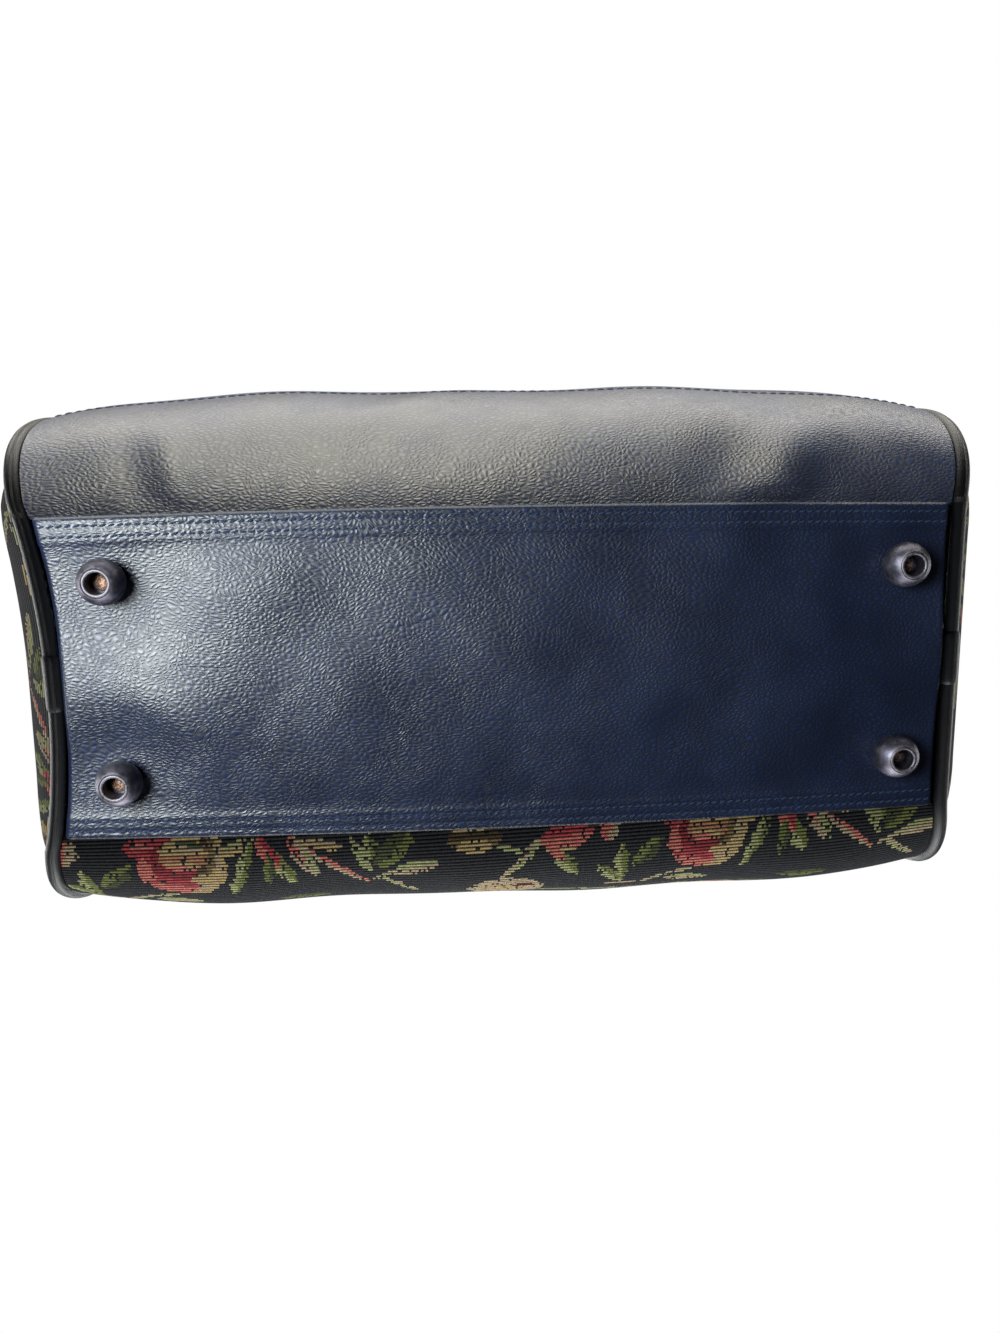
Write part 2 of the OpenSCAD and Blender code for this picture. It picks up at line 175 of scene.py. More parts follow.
def settle(points):
    """The set that the sewn body has taken in use: the long seams of the base bow out, and the
    right-hand end is drawn in at its middle and spread at its corners. The top and the feet stay."""
    p = np.array(points, float)
    x, y, z = np.moveaxis(p.copy(), -1, 0)
    low = np.exp(-(np.clip(z - WALL_Z0, 0, None) / SETTLE_H) ** 2)
    bow = np.clip(1 - (x / BASE_HALF_LEN) ** 2, 0, 1) * smooth(abs(y), 0.02, BASE_HALF_W)
    p[..., 1] = y + low * bow * np.where(y < 0, FRONT_BOW, BACK_BOW)
    t = np.clip(y / BASE_HALF_W, -1.08, 1.08)
    end_h = FRONT_END_H + (SETTLE_H - FRONT_END_H) * smooth(y, -0.05, 0.05)
    end_low = np.exp(-(np.clip(z - WALL_Z0, 0, None) / end_h) ** 2) * smooth(x, 0.14, 0.20)
    p[..., 0] = x + end_low * (END_DRAWN_IN + END_SKEW * t + CORNER_SPREAD * t ** 2)
    return p


def base_skin(x, d):
    """Depth of the base's lower face under its flat, at x along it and d from a long edge."""
    puff = HEM_PUFF * smooth(d, -0.001, 0.0025) * (1 - smooth(d, 0.009, 0.014))
    pucker = 0.8 + 0.2 * np.cos(2 * math.pi * x / STITCH_PITCH)
    for row in STITCH_ROWS:
        puff = puff - GROOVE_DEPTH * pucker * np.exp(-((d - row) / GROOVE_HALF) ** 2)
    return puff


# Bulges of the base: place along and across, reach along and across, and depth
BULGES = ((0.154, -0.018, 0.036, 0.026, 0.0034), (0.108, 0.040, 0.040, 0.014, 0.0011),
          (0.010, 0.025, 0.080, 0.032, 0.0010), (-0.120, 0.004, 0.060, 0.032, 0.0012),
          (0.0, -0.004, 0.30, 0.052, 0.0032))
CORNER_BULGE = (0.188, 0.061, 0.028, 0.008, 0.0008)


def bulge_depth(x, y, bulge_x, bulge_y, reach_x, reach_y, depth):
    return depth * np.exp(-((x - bulge_x) / reach_x) ** 2 - ((y - bulge_y) / reach_y) ** 2)


def base_wave(x, y):
    """The slow waves of the base leather, which hangs a little from the board between the feet."""
    wave = 0.0004 * (1 + np.sin(57 * x - 38 * y + 2.1)) + 0.0002 * (1 + np.sin(96 * x + 61 * y + 1.1))
    for bulge in BULGES:
        wave = wave + bulge_depth(x, y, *bulge)
    reach = np.hypot(abs(x) - FOOT_X, abs(y) - FOOT_Y)
    hang = wave * smooth(reach, 0.008, 0.045) * smooth(BASE_HALF_W - abs(y), 0.003, 0.024)
    return hang + bulge_depth(x, y, *CORNER_BULGE)


def base_point(x, y):
    """The lower face of the base leather at a place of its flat."""
    d = BASE_HALF_W - abs(y)
    into = np.clip(EDGE_ROUND - d, 0, None)
    rounded = EDGE_ROUND - np.sqrt(np.clip(EDGE_ROUND ** 2 - into ** 2, 0, None))
    turn_in = TURN_IN * smooth(abs(x), BASE_HALF_LEN - 0.004, BASE_HALF_LEN + 0.0012) ** 2
    z = BASE_Z - base_skin(x, d) - base_wave(x, y) + rounded + turn_in
    return settle(np.stack(np.broadcast_arrays(x, y, z), -1))


def mesh_piece(name, points, faces, uv=None, sharp=50.0):
    """An object of a closed mesh with its faces turned outwards, smooth but for its sharp edges."""
    mesh = bpy.data.meshes.new(name)
    mesh.from_pydata(np.asarray(points, float).tolist(), [], faces)
    work = bmesh.new()
    work.from_mesh(mesh)
    bmesh.ops.recalc_face_normals(work, faces=work.faces)
    work.to_mesh(mesh)
    work.free()
    if uv is not None:
        loops = np.zeros(len(mesh.loops), np.int32)
        mesh.loops.foreach_get("vertex_index", loops)
        mesh.uv_layers.new(name="UVMap").data.foreach_set("uv", np.asarray(uv, np.float32)[loops].ravel())
    mesh.shade_smooth()
    mesh.set_sharp_from_angle(angle=math.radians(sharp))
    piece = bpy.data.objects.new(name, mesh)
    bpy.context.scene.collection.objects.link(piece)
    return piece


def sheet_piece(name, outer, inner, uv):
    """A closed sheet between two grids of points, with a UV map in metres along the sheet."""
    rows, cols = outer.shape[:2]
    number = np.arange(rows * cols).reshape(rows, cols)
    a, b, c, d = number[:-1, :-1], number[:-1, 1:], number[1:, 1:], number[1:, :-1]
    skin = np.stack([a, b, c, d], -1).reshape(-1, 4)
    ring = np.concatenate([number[0, :], number[1:, -1], number[-1, -2::-1], number[-2:0:-1, 0]])
    after = np.roll(ring, -1)
    back = rows * cols
    rim = np.stack([after, ring, ring + back, after + back], -1)
    faces = np.concatenate([skin, skin[:, ::-1] + back, rim])
    return mesh_piece(name, np.concatenate([outer.reshape(-1, 3), inner.reshape(-1, 3)]), faces.tolist(),
                      np.concatenate([uv.reshape(-1, 2)] * 2))


def fit(piece, material, slot, *replaced, body="bag"):
    """Finishes a piece: its material, the body it moves with and the nodes it stands for. The slot is not
    used.
    """
    piece.data.materials.clear()
    piece.data.materials.append(material)
    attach(piece, body)
    if replaced:
        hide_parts(*replaced)
    return piece


# Pale colour of the folded base edges: partly rubbed leather, partly a painted highlight where the fold
# catches the window light.
RUBBED_HIGHLIT_LEATHER = paint("63676c")


def leather(name, deep, light, grain=520.0, grain_depth=0.00012, rough=0.42):
    """Pebbled leather: leaning, drawn-out pebbles with creases between them, a few long
    hairline creases, a colour lighter on the pebbles and darker in the creases between them, and folded
    edges painted pale, partly as rubbed leather and partly as a painted highlight."""
    material, tree, shader = new_finish(name, Specular_IOR_Level=0.55)
    uv = tree.nodes.new("ShaderNodeTexCoord").outputs["UV"]
    drift = put(tree, "ShaderNodeTexNoise", {"Vector": uv, "Scale": 45.0, "Detail": 2.0})
    sway = put(tree, "ShaderNodeVectorMath", {0: drift.outputs[1], 1: (0.012, 0.012, 0.0)},
               operation="MULTIPLY")
    bent = put(tree, "ShaderNodeVectorMath", {0: uv, 1: sway.outputs[0]})
    lean = (0, 0, math.radians(-55))
    leaning = put(tree, "ShaderNodeMapping",
                  {"Vector": bent.outputs[0], "Rotation": lean, "Scale": (0.72, 1.25, 1.0)})
    pebbles = put(tree, "ShaderNodeTexVoronoi", {"Vector": leaning.outputs[0], "Scale": grain},
                  feature="DISTANCE_TO_EDGE", voronoi_dimensions="2D")
    crown = ramp(tree, pebbles.outputs["Distance"], 0.0, 0.48)
    long_way = put(tree, "ShaderNodeMapping", {"Vector": bent.outputs[0], "Scale": (0.22, 1.0, 1.0)})
    folds = put(tree, "ShaderNodeTexVoronoi", {"Vector": long_way.outputs[0], "Scale": 48.0},
                feature="DISTANCE_TO_EDGE", voronoi_dimensions="2D")
    hairline = ramp(tree, folds.outputs["Distance"], 0.0, 0.035, 1.0, 0.0)
    seldom = ramp(tree, noise(tree, uv, 18.0), 0.52, 0.66)
    crease = calc(tree, "MULTIPLY", hairline, seldom)
    pores = noise(tree, uv, 2600.0, 2.0)
    height = calc(tree, "MULTIPLY_ADD", pores, 0.12, crown)
    height = calc(tree, "MULTIPLY_ADD", crease, -0.7, height)
    tone = ramp(tree, noise(tree, uv, 26.0, 4.0), 0.3, 0.75)
    # The colour is lighter on the pebbles and darker in the creases between them.
    lighter_on_pebbles = calc(tree, "MULTIPLY", calc(tree, "MULTIPLY_ADD", tone, 0.55, 0.2), crown)
    # Folded edges painted pale: partly rubbed leather, partly a painted highlight.
    rubbed = put(tree, "ShaderNodeAttribute", attribute_name="rubbed_highlit_edge").outputs["Fac"]
    colour = mix(tree, rubbed, mix(tree, lighter_on_pebbles, deep, light), RUBBED_HIGHLIT_LEATHER)
    tree.links.new(colour, shader.inputs["Base Color"])
    gloss = calc(tree, "MULTIPLY_ADD", crown, -0.12, calc(tree, "MULTIPLY_ADD", tone, 0.08, rough + 0.06))
    tree.links.new(gloss, shader.inputs["Roughness"])
    set_bump(tree, shader, height, grain_depth)
    return material


navy_leather = leather("navy_leather", paint("080e1e"), paint("15264c"), rough=0.37)
edge_steps = np.arange(0, HEM_W, 0.0005)
field_steps = np.linspace(HEM_W, BASE_HALF_W, 14)
inward = np.concatenate([edge_steps, field_steps])
across = np.concatenate([inward - BASE_HALF_W, (BASE_HALF_W - inward)[-2::-1]])
along = np.linspace(-BASE_HALF_LEN, BASE_HALF_LEN, 620)
y_grid, x_grid = np.meshgrid(across, along, indexing="ij")
lower = base_point(x_grid, y_grid)
upper = lower.copy()
from_edge = BASE_HALF_W - abs(y_grid)
upper[..., 2] = np.maximum(lower[..., 2] + 0.0006, WALL_Z0 - EDGE_ROUND * (from_edge < 0.0004))
base_panel = sheet_piece("base_leather", lower, upper, np.stack([-x_grid, y_grid], -1))
# Marks the folded long edges to be painted pale, partly as rubbed leather and partly as a painted highlight
# where the fold faces the window.
edge_wear_and_highlight = base_panel.data.attributes.new("rubbed_highlit_edge", "FLOAT", "POINT")
edge_wear_and_highlight.data.foreach_set("value", np.tile(1 - smooth(from_edge, 0.0002, 0.0008).ravel(), 2))
fit(base_panel, navy_leather, "navy_leather", "base_panel")


# Seam stitching. Two rows of waxed navy thread hold each long edge of the base to the wall under it.
# Each stitch is a short twisted length that leans across its row and sinks into the leather.
def stitch_unit(name, length, width):
    """One stitch at the origin along X: a plump thread with tapered ends."""
    work = bmesh.new()
    bmesh.ops.create_uvsphere(work, u_segments=8, v_segments=6, radius=0.5,
                              matrix=Matrix.Rotation(math.pi / 2, 4, "Y"))
    bmesh.ops.scale(work, verts=work.verts, vec=(length, width, width * 0.8))
    mesh = bpy.data.meshes.new(name)
    work.to_mesh(mesh)
    work.free()
    mesh.shade_smooth()
    return mesh


def row_tree():
    """A Geometry Nodes tree that sets one unit after another along paths. A unit's X lies along
    the path, its Z along the path's face_out, and it may lean across the row and vary in size."""
    tree = bpy.data.node_groups.new("row_on_path", "GeometryNodeTree")
    for name, kind in (("Paths", "Geometry"), ("Unit", "Object"), ("Pitch", "Float"), ("Lean", "Float"),
                       ("Spread", "Float"), ("Seed", "Int"), ("Finish", "Material")):
        tree.interface.new_socket(name, in_out="INPUT", socket_type="NodeSocket" + kind)
    tree.interface.new_socket("Row", in_out="OUTPUT", socket_type="NodeSocketGeometry")
    given = tree.nodes.new("NodeGroupInput").outputs
    curve = put(tree, "GeometryNodeMeshToCurve", {"Mesh": given["Paths"]})
    spaced = put(tree, "GeometryNodeResampleCurve", {"Curve": curve.outputs[0], "Length": given["Pitch"]},
                 mode="LENGTH")
    out = put(tree, "GeometryNodeInputNamedAttribute", {"Name": "face_out"}, data_type="FLOAT_VECTOR")
    tangent = tree.nodes.new("GeometryNodeInputTangent")
    ahead = put(tree, "FunctionNodeAlignRotationToVector", {"Vector": tangent.outputs[0]}, axis="X")
    stand = put(tree, "FunctionNodeAlignRotationToVector",
                {"Rotation": ahead.outputs[0], "Vector": out.outputs[0]}, axis="Z", pivot_axis="X")
    turn = put(tree, "ShaderNodeCombineXYZ", {"Z": given["Lean"]})
    lean = put(tree, "FunctionNodeRotateRotation",
               {"Rotation": stand.outputs[0], "Rotate By": turn.outputs[0]}, rotation_space="LOCAL")
    least = calc(tree, "SUBTRACT", 1.0, given["Spread"])
    most = calc(tree, "ADD", 1.0, given["Spread"])
    size = put(tree, "FunctionNodeRandomValue", {2: least, 3: most, "Seed": given["Seed"]})
    unit = put(tree, "GeometryNodeObjectInfo", {"Object": given["Unit"], "As Instance": True})
    row = put(tree, "GeometryNodeInstanceOnPoints",
              {"Points": spaced.outputs[0], "Instance": unit.outputs["Geometry"],
               "Rotation": lean.outputs[0], "Scale": size.outputs[1]})
    real = put(tree, "GeometryNodeRealizeInstances", {0: row.outputs[0]})
    done = put(tree, "GeometryNodeSetMaterial", {"Geometry": real.outputs[0], "Material": given["Finish"]})
    put(tree, "NodeGroupOutput", {0: done.outputs[0]})
    return tree


row_on_path = row_tree()


def set_rows(name, rows, unit_mesh, pitch, lean, spread, material):
    """Sets units along rows, each a pair of arrays with the points and the directions off the surface."""
    points = np.concatenate([p for p, _ in rows])
    starts = np.cumsum([0] + [len(p) for p, _ in rows])
    edges = [(i, i + 1) for a, b in zip(starts, starts[1:]) for i in range(a, b - 1)]
    mesh = bpy.data.meshes.new(name)
    mesh.from_pydata(points.tolist(), edges, [])
    outward = mesh.attributes.new("face_out", "FLOAT_VECTOR", "POINT")
    outward.data.foreach_set("vector", np.concatenate([n for _, n in rows]).astype(np.float32).ravel())
    piece = bpy.data.objects.new(name, mesh)
    unit = bpy.data.objects.new(name + "_unit", unit_mesh)
    for o in (piece, unit):
        bpy.context.scene.collection.objects.link(o)
    modifier = piece.modifiers.new("rows", "NODES")
    modifier.node_group = row_on_path
    socket = {item.name: item.identifier for item in row_on_path.interface.items_tree}
    for key, value in (("Unit", unit), ("Pitch", pitch), ("Lean", lean), ("Spread", spread), ("Seed", 11),
                       ("Finish", material)):
        modifier[socket[key]] = value
    made = piece.evaluated_get(bpy.context.evaluated_depsgraph_get())
    result = bpy.data.meshes.new_from_object(made)
    piece.modifiers.clear()
    piece.data = result
    bpy.data.objects.remove(unit)
    return piece


def thread(name, deep, light):
    """Twisted thread: fine slanting strands and a slight wax gloss."""
    material, tree, shader = new_finish(name, Roughness=0.8, Specular_IOR_Level=0.2)
    place = object_place(tree)
    strands = put(tree, "ShaderNodeTexWave", {"Vector": place, "Scale": 520.0, "Distortion": 1.5},
                  bands_direction="DIAGONAL").outputs[1]
    tree.links.new(mix(tree, strands, deep, light), shader.inputs["Base Color"])
    set_bump(tree, shader, strands, 0.00012)
    return material


navy_thread = thread("navy_thread", paint("0a1020"), paint("26344f"))
STITCH_LEN, STITCH_W = 0.0031, 0.0011
STITCH_LEAN = math.radians(14)
STITCH_SPREAD = 0.08
row_x = np.linspace(-BASE_HALF_LEN + 0.004, BASE_HALF_LEN - 0.004, 260)
base_rows = []
for side in (-1, 1):
    for row in STITCH_ROWS:
        on_leather = base_point(row_x, np.full_like(row_x, side * (BASE_HALF_W - row)))
        base_rows.append((on_leather, np.tile((0.0, 0.0, -1.0), (len(row_x), 1))))
stitch = stitch_unit("stitch", STITCH_LEN, STITCH_W)
base_stitches = set_rows("base_stitching", base_rows, stitch, STITCH_PITCH, STITCH_LEAN, STITCH_SPREAD,
                         navy_thread)
fit(base_stitches, navy_thread, "navy_leather")


# Front wall. A heavy floral tapestry, woven in ribs on a dark ground and backed for stiffness. It runs
# from under the base's edge round the belly to the zip, and is sewn to the piping at both ends.
PIPING_X = (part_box("piping_sleeve_right")[0].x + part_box("piping_sleeve_right")[1].x) / 2
PIPING_R = 0.00325
WALL_TOP_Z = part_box("piping_right")[1].z - PIPING_R
TAPESTRY_T = 0.0024
BELLY_LOW, BELLY_HIGH = 0.097, 0.054
SHOULDER_DROP = 0.027
MOUTH_HALF = 0.024
END_PINCH = 0.2
END_FLARE = 0.008
WALL_RECESS = PIPING_R + 0.0003
SEWN_MARGIN = 0.012
SEWN_END = 0.006
FRONT_LUMPS, BACK_LUMPS = 0.4, 1.9


def seam_x(u):
    """Half the length of the bag between the end seams, at a share u of the way up a wall."""
    return PIPING_X + END_FLARE * 4 * u * (1 - u)


def bezier(p, t):
    return p[0] * (1 - t) ** 3 + 3 * p[1] * (1 - t) ** 2 * t + 3 * p[2] * (1 - t) * t ** 2 + p[3] * t ** 3


def bezier_slope(p, t):
    return 3 * ((p[1] - p[0]) * (1 - t) ** 2 + 2 * (p[2] - p[1]) * (1 - t) * t + (p[3] - p[2]) * t ** 2)


def wall_frame(u, x):
    """A point of the back wall's line and its outward direction, from the base (u = 0) to the zip (u = 1)."""
    full = 1 - END_PINCH * (abs(x) / (PIPING_X + END_FLARE)) ** 6
    belly = (BASE_HALF_W + BELLY_LOW * full, BASE_HALF_W + BELLY_HIGH * full)
    ys = (BASE_HALF_W + 0 * x, *belly, MOUTH_HALF + 0 * x)
    zs = (WALL_Z0, WALL_Z0, WALL_TOP_Z - SHOULDER_DROP, WALL_TOP_Z)
    dy, dz = bezier_slope(ys, u), bezier_slope(zs, u)
    size = np.hypot(dy, dz)
    point = np.stack(np.broadcast_arrays(x, bezier(ys, u), bezier(zs, u)), -1)
    return point, np.stack(np.broadcast_arrays(0 * x, dz / size, -dy / size), -1)


def wall_point(u, x, out, side=1):
    """A point set out from a wall's line; side -1 is the front. Below u = 0 it lies on the sewn margin."""
    point, outward = wall_frame(np.clip(u, 0, 1), x)
    point = point + np.asarray(out)[..., None] * outward
    point[..., 1] -= np.where(u < 0, SEWN_MARGIN, 0) * (-u)
    return settle(point * (1, side, 1))


u_fine = np.linspace(0, 1, 400)
line_fine = wall_frame(u_fine, np.zeros(400))[0]
arc_fine = np.concatenate([[0], np.cumsum(np.linalg.norm(np.diff(line_fine, axis=0), axis=1))])


def u_at(height):
    """The share u of a wall at a height above the base leather."""
    return float(np.interp(WALL_Z0 + height, line_fine[:, 2], u_fine))


def wall_wave(u, x, lumps):
    """Soft unevenness of a wall that holds soft things, none at its seams."""
    wave = (np.sin(38 * x + 7 * u + lumps) + 0.7 * np.sin(71 * x - 11 * u + 2 * lumps)
            + 0.5 * np.sin(23 * u + 17 * x + lumps))
    return 0.0006 * wave * smooth(u, 0.0, 0.12) * smooth(1 - u, 0.0, 0.2) * smooth(0.21 - abs(x), 0.0, 0.05)


def wall_sheet(name, levels, out, thickness, side, columns, lumps):
    """A wall panel between levels, its outer face set out by the function out and its thickness inwards."""
    u, share = np.meshgrid(levels, np.linspace(-1, 1, columns), indexing="ij")
    x = share * np.where(u < 0, BASE_HALF_LEN - SEWN_END, seam_x(np.clip(u, 0, 1)) - WALL_RECESS)
    lift = out(u, x) + wall_wave(u, x, lumps) * (u > 0)
    outer = wall_point(u, x, lift, side)
    inner = wall_point(u, x, lift - thickness, side)
    height = np.where(u < 0, u * SEWN_MARGIN, np.interp(u, u_fine, arc_fine))
    piece = sheet_piece(name, outer, inner, np.stack([side * x, height], -1))
    return piece, (outer + inner) / 2


RIB = 0.0019
THREAD_STEP = 0.0011
WARP_STEP = 0.0009
REPEAT = 0.242
REPEAT_H = 0.112
TILE_START = -0.052
PATTERN_SHIFT = 0.151
PATTERN_SKEW = 0.033
MM = 0.001
dark_ground, pale_ground = paint("0f0f11"), paint("2c2f36")
red, crimson, coral, maroon = paint("a52430"), paint("86101f"), paint("bf5f50"), paint("4e1420")
gold, ochre, tan, amber = paint("b39a62"), paint("75613a"), paint("ad9a78"), paint("a8724a")
olive, moss, sage, brown = paint("6d7536"), paint("454e2c"), paint("9aa067"), paint("4a3a22")

# A motif of the weave: where it stands in the repeat (mm along, mm up), its direction in degrees from
# along the bag to up the wall, its half length and half width in mm, how round it is (1 a pointed
# leaf, 2 an oval petal) and the colours of its upper and lower half.
ROSE = (
    (4, 17, 100, 18.5, 13, 2, gold, gold), (14, 8, 80, 9, 3.5, 2, tan, gold),
    (5, 31, 160, 9, 3, 1.5, tan, gold), (-14, 4, 0, 10, 6.5, 2, red, red),
    (-16, 2, 10, 6, 3, 2, coral, red), (-13, 19, 75, 10, 6.5, 2, coral, red),
    (-6, 28, 15, 10, 6, 2, coral, red), (-3, 11.5, 0, 11.5, 12, 2, crimson, crimson),
    (8, 10, 95, 11, 5, 2, brown, ochre), (-1, 9, 0, 9.5, 10, 2, amber, gold), (2, 4, 20, 6, 3, 2, tan, moss),
    (-2, 15, 10, 7, 3, 2, coral, gold),
)
ROSE_LEAVES = (
    (-41, 28, 87, 13, 3.4, 1, sage, olive), (-29, 22, 128, 11.5, 4.4, 1, olive, moss),
    (-46, 36, 52, 11, 3.4, 1, sage, olive), (-47, 6, 100, 8.5, 5, 1.6, coral, tan),
    (21, 6, -33, 7.5, 3.2, 1, gold, sage), (23.5, 20, 109, 20, 2.9, 1.3, sage, olive),
    (36, 20.5, 94, 10.5, 2.8, 1, olive, moss),
    (-40, 46, 0, 9, 1.4, 1.5, sage, tan), (-24, 42, -33, 8.5, 1.5, 1.5, sage, tan),
    (-12, 37, -10, 6, 1.3, 1.5, tan, sage), (-8, 45, 8, 11, 4, 1.2, tan, sage),
    (50, 48, 0, 13, 4, 1.1, olive, moss),
)
LILY = (
    (40.5, 16.5, 60, 15.5, 4.6, 1.2, sage, olive), (36.5, 9.5, 60, 9, 3.8, 2, coral, red),
    (52.5, 13.5, 64, 13, 4.2, 1.2, tan, sage), (49.5, 7, 64, 7, 3.4, 2, coral, tan),
    (60.6, 6, 15, 10, 3, 1.2, gold, tan), (68, 20.5, 42, 20, 2.1, 1.5, tan, coral),
    (78.5, 14, 70, 11.5, 2.5, 1, sage, sage), (82.5, 9, 88, 7.5, 3.2, 1, sage, olive),
    (93, 12, 131, 13, 6.4, 1.2, moss, olive), (89.5, 27, -33, 8.5, 1.6, 1.5, sage, tan),
    (103, 22.5, -14, 12.5, 4.4, 1.1, tan, sage), (95, 36, 45, 13, 1.7, 1.5, sage, tan),
)
BUDS = (
    (131, 8, 0, 13, 6.5, 2, ochre, brown), (131, 12, 0, 8, 3.8, 2, gold, gold),
    (129, 5, 0, 8, 2.6, 2, brown, gold), (147, 14.5, 20, 8, 1.6, 1.5, sage, sage),
    (159.5, 13, -33, 8, 1.7, 1.5, sage, tan),
    (174, 10, -5, 12.5, 6, 2, coral, red), (172, 15.5, 0, 8.5, 3.6, 1.6, gold, coral),
    (152.5, 23.5, 133, 13, 2, 1.5, tan, sage), (174.5, 26, 51, 11.5, 4, 1.1, sage, olive),
    (170, 20, 51, 5, 2.6, 2, coral, coral), (146, 46, 0, 18, 12, 2, tan, tan),
    (146, 44, 0, 13, 7, 2, gold, tan), (155, 43, 0, 6, 1.5, 2, maroon, maroon),
)
UPPER_FLOWERS = (
    (10, 66, 0, 12, 9, 2, ochre, gold), (4, 71, -50, 9, 6, 2, gold, tan),
    (15, 71, 50, 9, 6, 2, coral, gold), (10, 62, 0, 5, 3, 2, maroon, red),
    (-14, 62, -30, 13, 4, 1, sage, olive), (32, 62, 30, 13, 4, 1, olive, moss),
    (55, 82, -60, 16, 4.5, 1, olive, moss), (70, 74, 40, 15, 4.2, 1, sage, olive),
    (98, 76, 0, 12, 10, 2, red, crimson), (94, 82, -50, 10, 7, 2, coral, red),
    (104, 82, 45, 10, 6, 2, gold, coral), (99, 74, 0, 5, 3.5, 2, tan, maroon),
    (122, 70, 28, 14, 4.2, 1, olive, moss), (78, 92, -30, 12, 3.6, 1, sage, olive),
    (150, 84, -62, 17, 4.6, 1, sage, olive), (164, 74, 38, 14, 4, 1, olive, moss),
    (178, 88, -40, 10, 6, 2, gold, ochre),
)
# Stems that wind along the cloth: height and swing in mm, waves in a repeat, start, half width and colour
STEMS = ((62, 9, 1, 0.4, 1.2, sage), (97, 9, 2, 4.4, 1.2, tan))


def motif_group():
    """A node group that lays one leaf or petal over a colour, lighter on one half."""
    tree = bpy.data.node_groups.new("woven_motif", "ShaderNodeTree")
    for name, kind in (("Colour", "Color"), ("Place", "Vector"), ("Middle", "Vector"), ("Turn", "Float"),
                       ("Half Size", "Vector"), ("Roundness", "Float"), ("Upper", "Color"),
                       ("Lower", "Color")):
        tree.interface.new_socket(name, in_out="INPUT", socket_type="NodeSocket" + kind)
    tree.interface.new_socket("Colour", in_out="OUTPUT", socket_type="NodeSocketColor")
    given = tree.nodes.new("NodeGroupInput").outputs
    turned = put(tree, "ShaderNodeVectorRotate", {"Vector": given["Place"], "Center": given["Middle"],
                                                  "Angle": given["Turn"]}, rotation_type="Z_AXIS")
    off = put(tree, "ShaderNodeVectorMath", {0: turned.outputs[0], 1: given["Middle"]}, operation="SUBTRACT")
    share = put(tree, "ShaderNodeVectorMath", {0: off.outputs[0], 1: given["Half Size"]}, operation="DIVIDE")
    part = put(tree, "ShaderNodeSeparateXYZ", {0: share.outputs[0]}).outputs
    width = calc(tree, "POWER", calc(tree, "ABSOLUTE", part[1]), given["Roundness"])
    inside = calc(tree, "LESS_THAN", calc(tree, "MULTIPLY_ADD", part[0], part[0], width), 1.0)
    half = calc(tree, "GREATER_THAN", part[1], -0.05)
    colour = mix(tree, half, given["Lower"], given["Upper"])
    put(tree, "NodeGroupOutput", {0: mix(tree, inside, given["Colour"], colour)})
    return tree


